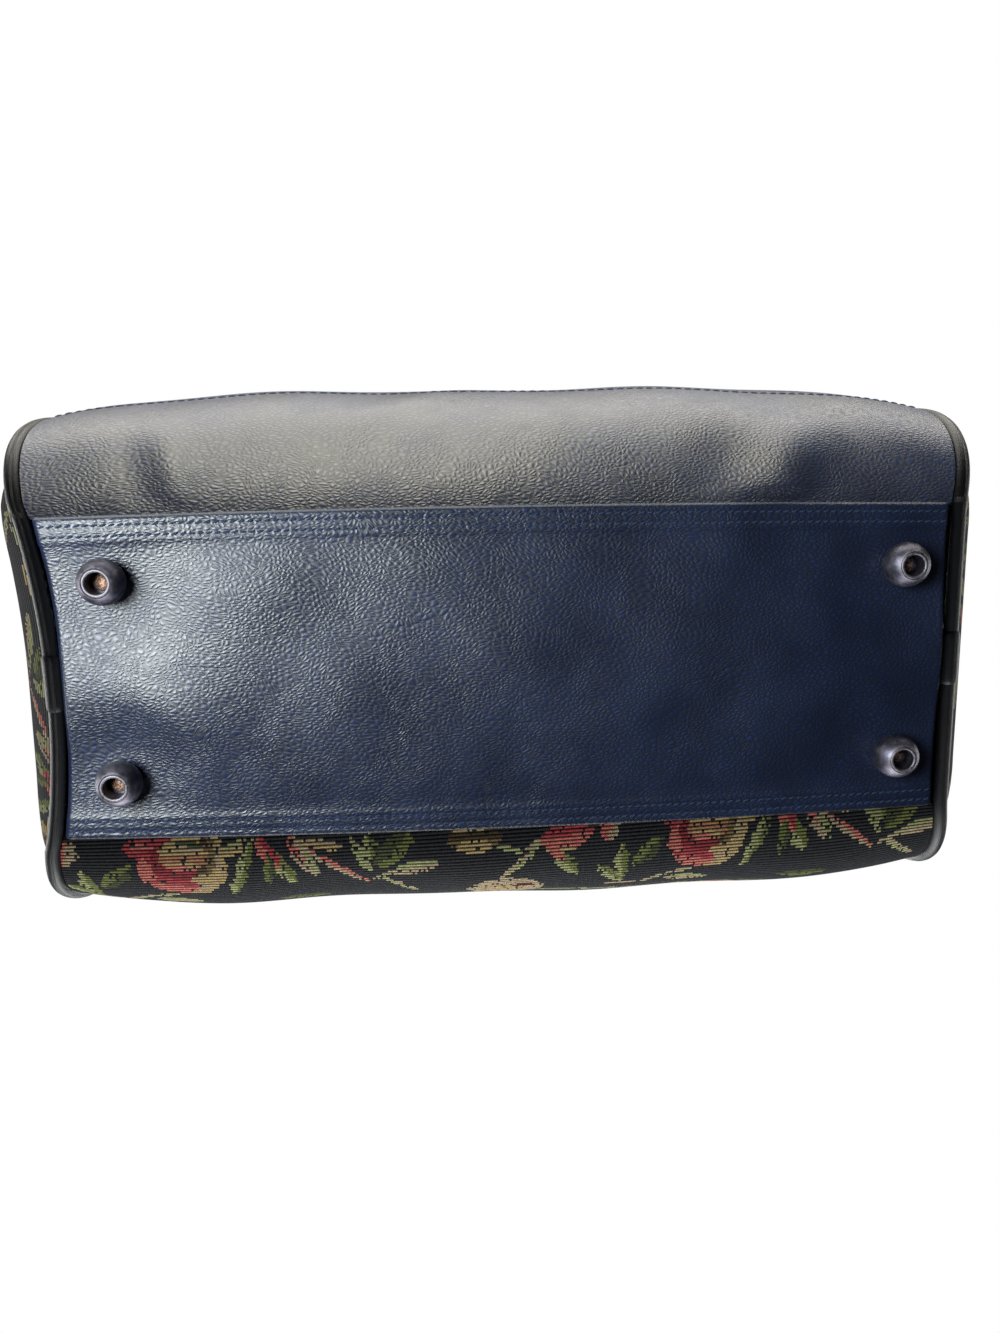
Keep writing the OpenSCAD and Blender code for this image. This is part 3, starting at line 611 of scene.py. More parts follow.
def woven_flowers():
    """The tapestry: motifs on a dark ground, broken into the steps of the weave, with coloured
    threads that lie along the ribs and a much darker shade of their colour between them."""
    material, tree, shader = new_finish("tapestry", Roughness=0.9, Specular_IOR_Level=0.15, Sheen_Weight=0.03)
    uv = put(tree, "ShaderNodeSeparateXYZ", {0: tree.nodes.new("ShaderNodeTexCoord").outputs["UV"]}).outputs
    across = calc(tree, "ADD", uv[0], PATTERN_SHIFT)
    up = calc(tree, "MULTIPLY_ADD", across, PATTERN_SKEW, uv[1])
    rib = calc(tree, "FLOOR", calc(tree, "DIVIDE", up, RIB))
    loose = put(tree, "ShaderNodeTexWhiteNoise", {"W": rib}, noise_dimensions="1D").outputs[0]
    along = calc(tree, "MULTIPLY_ADD", loose, THREAD_STEP, across)
    step = calc(tree, "FLOOR", calc(tree, "DIVIDE", along, THREAD_STEP))
    stitch_place = put(tree, "ShaderNodeCombineXYZ", {0: step, 1: rib}).outputs[0]
    ripple = noise(tree, stitch_place, 0.35)
    row_mm = calc(tree, "MULTIPLY", rib, RIB / MM)
    tile = calc(tree, "FLOOR", calc(tree, "DIVIDE", row_mm, REPEAT_H / MM))
    up_mm = calc(tree, "MULTIPLY_ADD", tile, -REPEAT_H / MM, row_mm)
    wander = calc(tree, "MULTIPLY_ADD", ripple, 4.0, -2.0)
    step_mm = calc(tree, "MULTIPLY_ADD", step, THREAD_STEP / MM, wander)
    along_mm = calc(tree, "WRAP", calc(tree, "MULTIPLY_ADD", tile, REPEAT / MM / 2, step_mm),
                    (TILE_START + REPEAT) / MM, TILE_START / MM)
    place = put(tree, "ShaderNodeCombineXYZ", {0: along_mm, 1: up_mm}).outputs[0]
    colour = dark_ground
    for level, swing, waves, start, half, shade in STEMS:
        angle = calc(tree, "MULTIPLY_ADD", along_mm, 2 * math.pi * waves / (REPEAT / MM), start)
        middle = calc(tree, "MULTIPLY_ADD", calc(tree, "SINE", angle), swing, level)
        on_stem = calc(tree, "COMPARE", up_mm, middle, half)
        colour = mix(tree, on_stem, colour, shade)
    laid = motif_group()
    motifs = (*UPPER_FLOWERS, *BUDS, *LILY, *ROSE_LEAVES, *ROSE)
    for x, y, turn, half_long, half_wide, roundness, upper, lower in motifs:
        shape = {"Middle": (x, y, 0), "Turn": -math.radians(turn), "Half Size": (half_long, half_wide, 1),
                 "Roundness": roundness, "Upper": upper, "Lower": lower}
        colour = put(tree, "ShaderNodeGroup", {"Colour": colour, "Place": place, **shape},
                     node_tree=laid).outputs[0]
    within = calc(tree, "FRACT", calc(tree, "DIVIDE", up, RIB))
    bulge = calc(tree, "MULTIPLY", calc(tree, "MULTIPLY", within, calc(tree, "SUBTRACT", 1.0, within)), 4.0)
    twist = calc(tree, "SINE", calc(tree, "MULTIPLY", uv[0], 2 * math.pi / WARP_STEP))
    picks = calc(tree, "SINE", calc(tree, "MULTIPLY", up, 4 * math.pi / RIB))
    thread_on = ramp(tree, bulge, 0.50, 0.80)
    fleck = put(tree, "ShaderNodeTexWhiteNoise", {"Vector": stitch_place}, noise_dimensions="2D").outputs[0]
    weft = calc(tree, "MULTIPLY_ADD", fleck, 0.45, calc(tree, "MULTIPLY_ADD", twist, 0.22, 0.25))
    grid = calc(tree, "MULTIPLY", weft, calc(tree, "MULTIPLY_ADD", picks, 0.35, 0.65))
    ground = mix(tree, grid, dark_ground, pale_ground)
    beads = calc(tree, "MULTIPLY_ADD", twist, 0.08, calc(tree, "MULTIPLY_ADD", fleck, 0.40, 0.72))
    bright = put(tree, "ShaderNodeHueSaturation",
                 {"Color": colour, "Saturation": 0.9, "Value": beads}).outputs[0]
    dim = put(tree, "ShaderNodeHueSaturation", {"Color": colour, "Value": 0.18}).outputs[0]
    apart = put(tree, "ShaderNodeVectorMath", {0: colour, 1: dark_ground[:3]}, operation="DISTANCE")
    on_motif = calc(tree, "MULTIPLY", calc(tree, "GREATER_THAN", apart.outputs["Value"], 0.004),
                    calc(tree, "GREATER_THAN", fleck, 0.08))
    shown = mix(tree, on_motif, ground, mix(tree, thread_on, dim, bright))
    tree.links.new(shown, shader.inputs["Base Color"])
    height = calc(tree, "MULTIPLY_ADD", twist, 0.12, bulge)
    set_bump(tree, shader, height, 0.00035)
    return material


# Where the front belly is flatter: place along the bag and up the wall, reach of each, and depth
EASE_X, EASE_U, EASE_REACH_X, EASE_REACH_U, EASE_DEPTH = 0.055, 0.28, 0.085, 0.2, 0.0022


def front_ease(u, x):
    """The front belly is a little flatter to one side of its middle."""
    near = np.exp(-((x - EASE_X) / EASE_REACH_X) ** 2 - ((u - EASE_U) / EASE_REACH_U) ** 2)
    return -EASE_DEPTH * near * smooth(u, 0, 0.1)


tapestry = woven_flowers()
front_levels = np.concatenate([[-1, -0.5], np.linspace(0, 1, 90)])
front_panel, front_middle = wall_sheet("front_tapestry", front_levels, front_ease, TAPESTRY_T, -1, 180,
                                       FRONT_LUMPS)
fit(front_panel, tapestry, "tapestry", "front_panel")


# Back wall. Pebbled leather to a third of the height, its stitched top edge lapped over the tapestry
# that goes on up to the zip. Use has drawn a few soft folds in the leather above the base.
BACK_LEATHER_H, BACK_LAP = 0.060, 0.014
LAP_LIFT = LEATHER_T + 0.0002
lap_u, leather_top_u = u_at(BACK_LEATHER_H - BACK_LAP), u_at(BACK_LEATHER_H)
EDGE_ROW_DROP, EDGE_STITCH_PITCH = 0.016, 0.0046
EDGE_STITCH_LEN, EDGE_STITCH_W, EDGE_STITCH_END = 0.0036, 0.0015, 0.010
edge_row_u = u_at(BACK_LEATHER_H - EDGE_ROW_DROP)
# Folds: place along the bag, height up the wall (share u), lean of the line, half width and height
FOLDS = ((-0.124, 0.07, -0.11, 0.016, 0.0028), (-0.092, 0.07, -0.11, 0.014, -0.0008),
         (0.146, 0.08, 0.05, 0.008, 0.0008), (0.160, 0.08, 0.05, 0.008, -0.0008),
         (0.050, 0.22, -0.30, 0.016, 0.0009))
FOLD_REACH_U = 0.10


def back_lift(u, x):
    """The back leather rises from the wall's line to lie over the tapestry, with its folds."""
    lift = LAP_LIFT * np.clip(u / lap_u, 0, 1)
    for fold_x, fold_u, lean, half, height in FOLDS:
        off = x - fold_x - lean * (u - fold_u)
        near = np.exp(-(off / half) ** 2) * np.exp(-((u - fold_u) / FOLD_REACH_U) ** 2)
        lift = lift + height * near * smooth(u, 0, 0.03)
    return lift


back_levels = np.concatenate([[-1, -0.5], np.linspace(0, leather_top_u, 80)])
back_lower, back_middle = wall_sheet("back_leather", back_levels, back_lift, LEATHER_T, 1, 240, BACK_LUMPS)
fit(back_lower, navy_leather, "navy_leather", "back_lower_panel")

upper_levels = np.linspace(lap_u, 1, 70)
back_upper, upper_middle = wall_sheet("back_tapestry", upper_levels, lambda u, x: 0 * x, TAPESTRY_T, 1, 180,
                                      BACK_LUMPS)
fit(back_upper, tapestry, "tapestry", "back_upper_panel")

edge_x = np.linspace(-1, 1, 200) * (seam_x(leather_top_u) - EDGE_STITCH_END)
edge_u = np.full(200, edge_row_u)
edge_out = wall_frame(edge_u, edge_x)[1]
edge_on = wall_point(edge_u, edge_x, back_lift(edge_u, edge_x) + wall_wave(edge_u, edge_x, BACK_LUMPS))
edge_stitch = stitch_unit("edge_stitch", EDGE_STITCH_LEN, EDGE_STITCH_W)
back_stitches = set_rows("back_edge_stitching", [(edge_on, edge_out)], edge_stitch, EDGE_STITCH_PITCH, 0.0,
                         STITCH_SPREAD, navy_thread)
fit(back_stitches, navy_thread, "navy_leather")


# End panels. A tapestry panel closes each end inside the piping and swells a little from what is packed
# in the bag. Its ribs run level, as on the walls.
SEAM_POINTS = 360
END_SWELL = 0.025
END_FULLNESS = 4
RIM_INSET = PIPING_R + 0.0003
END_PATTERN_SHIFT = 0.066


def seam_line():
    """The closed seam round the right-hand end in even steps, from the base's back corner along the base."""
    u = np.linspace(0, 1, 90)
    wall = wall_frame(u, seam_x(u))[0]
    run = np.linspace(1, -1, 40)
    base = np.stack([np.full(40, PIPING_X), run * BASE_HALF_W, np.full(40, WALL_Z0)], -1)
    mouth = np.stack([np.full(40, seam_x(1.0)), -run * MOUTH_HALF, np.full(40, WALL_TOP_Z)], -1)
    line = np.concatenate([base[:-1], (wall * (1, -1, 1))[:-1], mouth[:-1], wall[::-1]])
    length = np.concatenate([[0], np.cumsum(np.linalg.norm(np.diff(line, axis=0), axis=1))])
    even = np.linspace(0, length[-1], SEAM_POINTS, endpoint=False)
    line = np.stack([np.interp(even, length, line[:, k]) for k in range(3)], -1)
    for _ in range(4):
        line = (np.roll(line, 1, 0) + 2 * line + np.roll(line, -1, 0)) / 4
    return line, even


def seam_out(line):
    """The outward direction across a closed seam line, in the plane of the end."""
    d = np.roll(line, -1, 0) - np.roll(line, 1, 0)
    out = np.stack([0 * d[:, 0], -d[:, 2], d[:, 1]], -1)
    return out / np.linalg.norm(out, axis=1, keepdims=True)


end_line, end_length = seam_line()
end_out = seam_out(end_line)
END_RINGS = np.linspace(1, 0.04, 26)


def end_sheet(name, side):
    """A swollen panel inside the end seam: rings of points about its middle, closed with a fan."""
    rim = end_line - RIM_INSET * end_out
    middle = np.array((seam_x(0.5) + END_SWELL, 0, (WALL_Z0 + WALL_TOP_Z) / 2))
    rings = middle + END_RINGS[:, None, None] * (rim - middle)
    rings[..., 0] = rim[:, 0] + (middle[0] - rim[:, 0]) * (1 - END_RINGS[:, None] ** END_FULLNESS)
    skin = np.concatenate([rings.reshape(-1, 3), [middle]])
    half = np.array((TAPESTRY_T / 2, 0, 0))
    points = settle(np.concatenate([skin + half, skin - half]) * (side, 1, 1))
    n, last, back = SEAM_POINTS, len(skin) - 1, len(skin)
    faces = []
    for k in range(len(END_RINGS) - 1):
        for i in range(n):
            a, b = k * n + i, k * n + (i + 1) % n
            faces += [(a, b, b + n, a + n), (back + a + n, back + b + n, back + b, back + a)]
    for i in range(n):
        j = (i + 1) % n
        a, b = last - n + i, last - n + j
        faces += [(a, b, last), (back + b, back + a, back + last), (j, i, back + i, back + j)]
    uv = np.stack([side * points[:, 1] - END_PATTERN_SHIFT, points[:, 2] - WALL_Z0], -1)
    return mesh_piece(name, points, faces, uv)


end_panels = []
for side, word in ((-1, "left"), (1, "right")):
    end_panel = end_sheet("end_tapestry_" + word, side)
    end_panels.append(end_panel)
    fit(end_panel, tapestry, "tapestry", "end_panel_" + word)


# Piping. A cord wrapped in smooth navy leather is sewn into the seam round each end, and a short leather
# sleeve covers the joint of the cord under the base.
TUBE_SIDES = 18
SLEEVE_T = 0.0008
piping_leather = leather("piping_leather", paint("06090f"), paint("121a26"), grain=900.0, grain_depth=0.00006,
                         rough=0.46)


def tube_piece(name, line, lengths, first, second, radius, closed):
    """A tube round a line, from two directions across it and a radius for each point."""
    angle = np.linspace(0, 2 * math.pi, TUBE_SIDES, endpoint=False)
    radius = np.broadcast_to(radius, (len(line),))[:, None, None]
    round_it = np.cos(angle)[None, :, None] * first[:, None] + np.sin(angle)[None, :, None] * second[:, None]
    points = (line[:, None] + radius * round_it).reshape(-1, 3)
    n, m = len(line), TUBE_SIDES
    faces = [(i * m + j, (i + 1) % n * m + j, (i + 1) % n * m + (j + 1) % m, i * m + (j + 1) % m)
             for i in range(n if closed else n - 1) for j in range(m)]
    if not closed:
        faces += [tuple(range(m)), tuple((n - 1) * m + j for j in reversed(range(m)))]
    uv = np.stack(np.broadcast_arrays(np.asarray(lengths)[:, None], angle * np.mean(radius)), -1)
    return mesh_piece(name, points, faces, uv.reshape(-1, 2))


across_x = np.tile((1.0, 0.0, 0.0), (SEAM_POINTS, 1))
pipings = []
for side, word in ((-1, "left"), (1, "right")):
    line = settle(end_line * (side, 1, 1))
    piping = tube_piece("piping_leather_" + word, line, end_length, end_out, across_x, PIPING_R, True)
    fit(piping, piping_leather, "piping_leather", "piping_" + word)
    low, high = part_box("piping_sleeve_" + word)
    steps = np.linspace(low.y, high.y, 30)
    sleeve_line = settle(np.stack([np.full(30, side * PIPING_X), steps, np.full(30, WALL_Z0)], -1))
    swell = PIPING_R + SLEEVE_T * (1 - np.abs(np.linspace(-1, 1, 30)) ** 12)
    sleeve = tube_piece("sleeve_leather_" + word, sleeve_line, steps, np.tile((0.0, 0.0, -1.0), (30, 1)),
                        across_x[:30], swell, False)
    fit(sleeve, piping_leather, "piping_leather", "piping_sleeve_" + word)
    pipings += [piping, sleeve]


# Feet. Four hollow barrel feet of blackened metal, turned with a rounded rim round a deep hole. The rim
# that meets the floor is rubbed to bare metal in patches.
FOOT_TIP_R, FOOT_HOLE_R, FOOT_HOLE_DEPTH, FOOT_BORE_R = 0.0061, 0.0046, 0.009, 0.0016
FOOT_H = BASE_Z
RIM_R = (FOOT_TIP_R - FOOT_HOLE_R) / 2
ball_z = math.sqrt(FOOT_R ** 2 - FOOT_TIP_R ** 2)
top_angle = math.asin((FOOT_H - ball_z) / FOOT_R)
tip_angle = -math.acos((FOOT_HOLE_R + 2 * RIM_R) / FOOT_R) + 0.03
foot_profile = [(FOOT_R * math.cos(a), ball_z + FOOT_R * math.sin(a))
                for a in np.linspace(top_angle, tip_angle, 22)]
foot_profile += [(FOOT_HOLE_R + RIM_R + RIM_R * math.cos(a), RIM_R - RIM_R * math.sin(a))
                 for a in np.linspace(0.25, math.pi, 9)]
foot_profile += [(FOOT_HOLE_R, FOOT_HOLE_DEPTH), (FOOT_BORE_R, FOOT_HOLE_DEPTH), (FOOT_BORE_R, FOOT_H)]


def turned_piece(name, centres, profile, steps=48):
    """Copies of a turned part that stand on the given centres, from a closed profile of (radius, height)."""
    angle = np.linspace(0, 2 * math.pi, steps, endpoint=False)
    r, z = np.array(profile, float).T
    ring = np.stack([np.cos(angle)[:, None] * r, np.sin(angle)[:, None] * r, 0 * angle[:, None] + z], -1)
    n = len(r)
    faces, points = [], []
    for k, centre in enumerate(centres):
        start = k * steps * n
        points.append((ring + np.array(centre)).reshape(-1, 3))
        for i in range(steps):
            a, b = start + i * n, start + (i + 1) % steps * n
            faces += [(a + j, b + j, b + (j + 1) % n, a + (j + 1) % n) for j in range(n)]
    return mesh_piece(name, np.concatenate(points), faces)


gunmetal, tree, shader = new_finish("gunmetal", Metallic=1.0)
place = object_place(tree)
height_z = put(tree, "ShaderNodeSeparateXYZ", {0: place}).outputs[2]
scuffs = noise(tree, place, 700.0, 4.0)
rubbed = calc(tree, "MULTIPLY", ramp(tree, height_z, 0.0001, 0.0014, 0.8, 0.0), ramp(tree, scuffs, 0.2, 0.6))
tarnish = mix(tree, ramp(tree, noise(tree, place, 260.0), 0.35, 0.7), paint("444450"), paint("62606b"))
tree.links.new(mix(tree, rubbed, tarnish, paint("77737a")), shader.inputs["Base Color"])
tree.links.new(calc(tree, "MULTIPLY_ADD", rubbed, 0.2, calc(tree, "MULTIPLY_ADD", scuffs, 0.20, 0.36)),
               shader.inputs["Roughness"])
set_bump(tree, shader, scuffs, 0.00012, 0.5)
for y_side, y_word in ((-1, "front"), (1, "back")):
    for x_side, x_word in ((-1, "left"), (1, "right")):
        foot_name = f"foot_{y_word}_{x_word}"
        foot = turned_piece(foot_name + "_metal", [(x_side * FOOT_X, y_side * FOOT_Y, 0)], foot_profile)
        fit(foot, gunmetal, "gunmetal", foot_name)


# Rivets. A domed rivet inside each foot goes through the base and the board and is clenched on a washer.
# The heads in the feet have rusted brown.
worn_rivet, tree, shader = new_finish("worn_rivet", Metallic=0.6)
place = object_place(tree)
rust = ramp(tree, noise(tree, place, 900.0, 5.0), 0.35, 0.65)
tree.links.new(mix(tree, rust, paint("6b4a38"), paint("a98a78")), shader.inputs["Base Color"])
tree.links.new(calc(tree, "MULTIPLY_ADD", rust, -0.3, 0.75), shader.inputs["Roughness"])
set_bump(tree, shader, rust, 0.0002)
HEAD_R, HEAD_H, SHANK_R, CLENCH_Z = 0.0038, 0.0018, 0.0015, 0.020
rivet_profile = [(HEAD_R * math.sin(a) + 1e-5, FOOT_HOLE_DEPTH - HEAD_H * math.cos(a))
                 for a in np.linspace(0, math.pi / 2, 8)]
rivet_profile += [(SHANK_R, FOOT_HOLE_DEPTH + 1e-5), (SHANK_R, CLENCH_Z), (HEAD_R, CLENCH_Z + 1e-5),
                  (SHANK_R, CLENCH_Z + HEAD_H), (1e-5, CLENCH_Z + HEAD_H)]
foot_places = [(x * FOOT_X, y * FOOT_Y, 0) for x in (-1, 1) for y in (-1, 1)]
rivets = turned_piece("rivet_heads", foot_places, rivet_profile, steps=32)
fit(rivets, worn_rivet, "worn_rivet", "foot_rivets")

steel, tree, shader = new_finish("steel", Metallic=1.0)
brushed = noise(tree, object_place(tree), 1400.0, 2.0)
tree.links.new(mix(tree, brushed, paint("8f9296"), paint("b9bcc0")), shader.inputs["Base Color"])
tree.links.new(calc(tree, "MULTIPLY_ADD", brushed, 0.2, 0.25), shader.inputs["Roughness"])
finish_node("rivet_washers", steel)


# Zip. Two dark woven tapes under the walls' top edges carry a chain of separate metal teeth, with a stop
# at each end. The slider has a tab that turns on its pin.
TWILL_STEP, CORD_STEP = 0.0012, 0.0009
zip_tape, tree, shader = new_finish("zip_tape", Roughness=0.85, Specular_IOR_Level=0.3)
part = put(tree, "ShaderNodeSeparateXYZ", {0: object_place(tree)}).outputs
slant = calc(tree, "ADD", part[0], part[1])
twill = calc(tree, "SINE", calc(tree, "MULTIPLY", slant, 2 * math.pi / TWILL_STEP))
cords = calc(tree, "SINE", calc(tree, "MULTIPLY", part[1], 2 * math.pi / CORD_STEP))
woven = calc(tree, "MULTIPLY", calc(tree, "ADD", twill, cords), 0.25)
tape_colour = mix(tree, calc(tree, "ADD", woven, 0.5), paint("14171f"), paint("2e3442"))
tree.links.new(tape_colour, shader.inputs["Base Color"])
set_bump(tree, shader, woven, 0.0002)
for word in ("front", "back"):
    finish_node("zip_tape_" + word, zip_tape)

zip_metal, tree, shader = new_finish("zip_metal", Metallic=1.0)
place = object_place(tree)
age = ramp(tree, noise(tree, place, 420.0, 4.0), 0.35, 0.7)
tree.links.new(mix(tree, age, paint("6b5a34"), paint("b49a62")), shader.inputs["Base Color"])
tree.links.new(calc(tree, "MULTIPLY_ADD", age, -0.15, 0.42), shader.inputs["Roughness"])
set_bump(tree, shader, noise(tree, place, 1800.0, 2.0), 0.00005)

TOOTH_PITCH, TOOTH_W, TOOTH_BACK, TOOTH_REACH = 0.005, 0.0021, 0.0045, 0.0014
TOOTH_SPLIT, TOOTH_EASE = 0.0012, 0.00028


def tooth_unit(thickness):
    """One tooth along Y: a clamp on the tape and a narrower rounded head that reaches past the middle."""
    work = bmesh.new()
    half = TOOTH_W / 2
    outline = [(half, TOOTH_BACK), (half, TOOTH_SPLIT), (half * 0.75, 0), (half * 0.6, -TOOTH_REACH)]
    outline += [(-x, y) for x, y in reversed(outline)]
    middle = (TOOTH_BACK - TOOTH_REACH) / 2
    face = work.faces.new([work.verts.new((x, y - middle, -thickness / 2)) for x, y in outline])
    raised = bmesh.ops.extrude_face_region(work, geom=[face])
    for v in raised["geom"]:
        if isinstance(v, bmesh.types.BMVert):
            v.co.z += thickness
    bmesh.ops.bevel(work, geom=list(work.edges), offset=TOOTH_EASE, segments=1, affect="EDGES")
    bmesh.ops.recalc_face_normals(work, faces=work.faces)
    mesh = bpy.data.meshes.new("tooth")
    work.to_mesh(mesh)
    work.free()
    return mesh


for side, word in ((-1, "front"), (1, "back")):
    low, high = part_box("zip_teeth_" + word)
    count = math.floor((high.x - low.x - TOOTH_PITCH) / TOOTH_PITCH)
    first = -count * TOOTH_PITCH / 2 + side * TOOTH_PITCH / 4 + TOOTH_PITCH / 2
    ends = np.array([first, first + (count - 1) * TOOTH_PITCH])
    tooth_y, tooth_z = side * (TOOTH_BACK - TOOTH_REACH) / 2, (low.z + high.z) / 2
    path = np.stack([ends, np.full(2, tooth_y), np.full(2, tooth_z)], -1)
    up = np.tile((0.0, 0.0, 1.0), (2, 1))
    teeth = set_rows("teeth_" + word, [(path, up)], tooth_unit(high.z - low.z), TOOTH_PITCH,
                     0.0 if side > 0 else math.pi, 0.0, zip_metal)
    fit(teeth, zip_metal, "zip_metal", "zip_teeth_" + word)


def eased_copy(name, node, width, material, slot, body):
    """A piece with the exact form of a CAD node, its edges eased as on a cast or pressed part."""
    work = bmesh.new()
    work.from_mesh(nodes[node].data)
    bmesh.ops.remove_doubles(work, verts=work.verts, dist=1e-6)
    bmesh.ops.dissolve_limit(work, angle_limit=math.radians(2), verts=work.verts, edges=work.edges)
    sharp = [e for e in work.edges if len(e.link_faces) == 2 and e.calc_face_angle(0) > math.radians(40)]
    bmesh.ops.bevel(work, geom=sharp, offset=width, segments=2, affect="EDGES", clamp_overlap=True)
    mesh = bpy.data.meshes.new(name)
    work.to_mesh(mesh)
    work.free()
    mesh.shade_smooth()
    mesh.set_sharp_from_angle(angle=math.radians(35))
    piece = bpy.data.objects.new(name, mesh)
    bpy.context.scene.collection.objects.link(piece)
    return fit(piece, material, slot, node, body=body)


eased_copy("stops", "zip_stops", 0.0004, zip_metal, "zip_metal", "bag")
eased_copy("slider_body", "zip_slider", 0.0002, zip_metal, "zip_metal", "slider")
eased_copy("pull_tab", "zip_pull", 0.0003, zip_metal, "zip_metal", "pull")


# Handles. Two rolled leather handles, each with its legs sewn on leather patches on a wall. The roll is
# closed by a row of stitches on the inside of the arch, and a row runs round each patch.
HANDLE_R = 0.007
HANDLE_PITCH = 0.170
HANDLE_FOOT_DROP, HANDLE_LEAVE_DROP = 0.088, 0.052
HANDLE_RISE, HANDLE_TOP_HALF = 0.130, 0.025
HANDLE_GAP, HANDLE_END_ROUND, HANDLE_STITCH_START = 0.0004, 0.006, 0.05
PATCH_HALF_W, PATCH_MARGIN, PATCH_CORNER, PATCH_STITCH_IN = 0.016, 0.012, 0.007, 0.003
wall_h = WALL_TOP_Z - WALL_Z0
patch_low = np.interp(u_at(wall_h - HANDLE_FOOT_DROP - PATCH_MARGIN), u_fine, arc_fine)
patch_high = np.interp(u_at(wall_h - HANDLE_LEAVE_DROP + PATCH_MARGIN), u_fine, arc_fine)


def patch_half(rise, inset):
    """Half the width of a patch at a distance from its nearer end, with round corners."""
    into = np.clip(PATCH_CORNER - rise, 0, PATCH_CORNER)
    return PATCH_HALF_W - inset - PATCH_CORNER + np.sqrt(PATCH_CORNER ** 2 - into ** 2)


def on_wall(arc, x, out, side):
    u = np.interp(arc, arc_fine, u_fine)
    return wall_point(u, x, out + wall_wave(u, x, FRONT_LUMPS if side < 0 else BACK_LUMPS), side)


def patch_sheet(name, x_side, side):
    """A leather patch on a wall and the path of the stitches inside its edge."""
    span = patch_high - patch_low
    rise = span / 2 * (1 - np.cos(np.linspace(0, math.pi, 40)))
    arc, share = np.meshgrid(patch_low + rise, np.linspace(-1, 1, 24), indexing="ij")
    nearest = np.minimum(arc - patch_low, patch_high - arc)
    x = x_side * HANDLE_PITCH / 2 + share * patch_half(nearest, 0)
    edge = smooth(1 - abs(share), 0.0, 0.12) * smooth(nearest, 0.0, 0.0025)
    outer = on_wall(arc, x, 0.0010 + (LEATHER_T - 0.0008) * edge, side)
    inner = on_wall(arc, x, 0.0002 + 0 * arc, side)
    piece = sheet_piece(name, outer, inner, np.stack([x, arc], -1))
    up = np.linspace(PATCH_STITCH_IN, span - PATCH_STITCH_IN, 60)
    half = patch_half(np.minimum(up, span - up) - PATCH_STITCH_IN, PATCH_STITCH_IN)
    loop_x = x_side * HANDLE_PITCH / 2 + np.concatenate([half, -half[::-1], half[:1]])
    loop_arc = patch_low + np.concatenate([up, up[::-1], up[:1]])
    path = on_wall(loop_arc, loop_x, 0.0002 + LEATHER_T + 0 * loop_x, side)
    out = wall_frame(np.interp(loop_arc, arc_fine, u_fine), loop_x)[1] * (1, side, 1)
    return piece, (path, out)


def joined(name, pieces):
    """One object of several like pieces."""
    work = bmesh.new()
    for piece in pieces:
        work.from_mesh(piece.data)
    mesh = pieces[0].data.copy()
    mesh.name = name
    work.to_mesh(mesh)
    work.free()
    for piece in pieces:
        bpy.data.objects.remove(piece)
    whole = bpy.data.objects.new(name, mesh)
    bpy.context.scene.collection.objects.link(whole)
    return whole


patches = [patch_sheet(f"patch_{x}_{y}", x, y) for x in (-1, 1) for y in (-1, 1)]
patch_rows = [row for _, row in patches]
patch_piece = joined("handle_patch_leather", [piece for piece, _ in patches])
fit(patch_piece, navy_leather, "navy_leather", "handle_patches")


def handle_piece(word, side):
    """A rolled handle and the path of the stitches that close it."""
    leg_u = np.linspace(u_at(wall_h - HANDLE_FOOT_DROP), u_at(wall_h - HANDLE_LEAVE_DROP), 24)
    leg = wall_point(leg_u, np.full(24, HANDLE_PITCH / 2), np.full(24, LEATHER_T + HANDLE_GAP + HANDLE_R))
    foot = leg[-1]
    rise = np.array((0, HANDLE_TOP_HALF - foot[1], HANDLE_RISE))
    a = np.linspace(0, math.pi, 90)[1:-1, None]
    level = np.hstack([foot[0] * np.cos(a), np.full_like(a, foot[1]), np.full_like(a, foot[2])])
    arch = level + rise * np.sin(a)
    line = np.concatenate([leg, arch, leg[::-1] * (-1, 1, 1)])
    for _ in range(6):
        line[1:-1] = (line[:-2] + 2 * line[1:-1] + line[2:]) / 4
    lengths = np.concatenate([[0], np.cumsum(np.linalg.norm(np.diff(line, axis=0), axis=1))])
    tangent = np.gradient(line, axis=0)
    tangent /= np.linalg.norm(tangent, axis=1, keepdims=True)
    across = np.array((0, rise[2], -rise[1])) / np.hypot(rise[1], rise[2])
    first = across - (tangent @ across)[:, None] * tangent
    first /= np.linalg.norm(first, axis=1, keepdims=True)
    second = np.cross(tangent, first)
    from_end = np.minimum(lengths, lengths[-1] - lengths)
    radius = HANDLE_R * np.sqrt(np.clip(1 - np.clip(1 - from_end / HANDLE_END_ROUND, 0, 0.95) ** 2, 0, 1))
    flip = np.array((1, side, 1))
    piece = tube_piece("handle_roll_" + word, line * flip, lengths, first * flip, second * flip, radius,
                       False)
    keep = from_end > HANDLE_STITCH_START
    inner = np.where((second @ np.array((0, 0, 1.0)))[:, None] > 0, -second, second)
    return piece, ((line + inner * HANDLE_R)[keep] * flip, inner[keep] * flip)


handle_rows = []
for side, word in ((-1, "front"), (1, "back")):
    handle, row = handle_piece(word, side)
    fit(handle, piping_leather, "navy_leather", "handle_" + word)
    handle_rows.append(row)
handle_stitches = set_rows("handle_stitching", patch_rows + handle_rows, stitch, STITCH_PITCH, STITCH_LEAN,
                           STITCH_SPREAD, navy_thread)
fit(handle_stitches, navy_thread, "navy_leather")


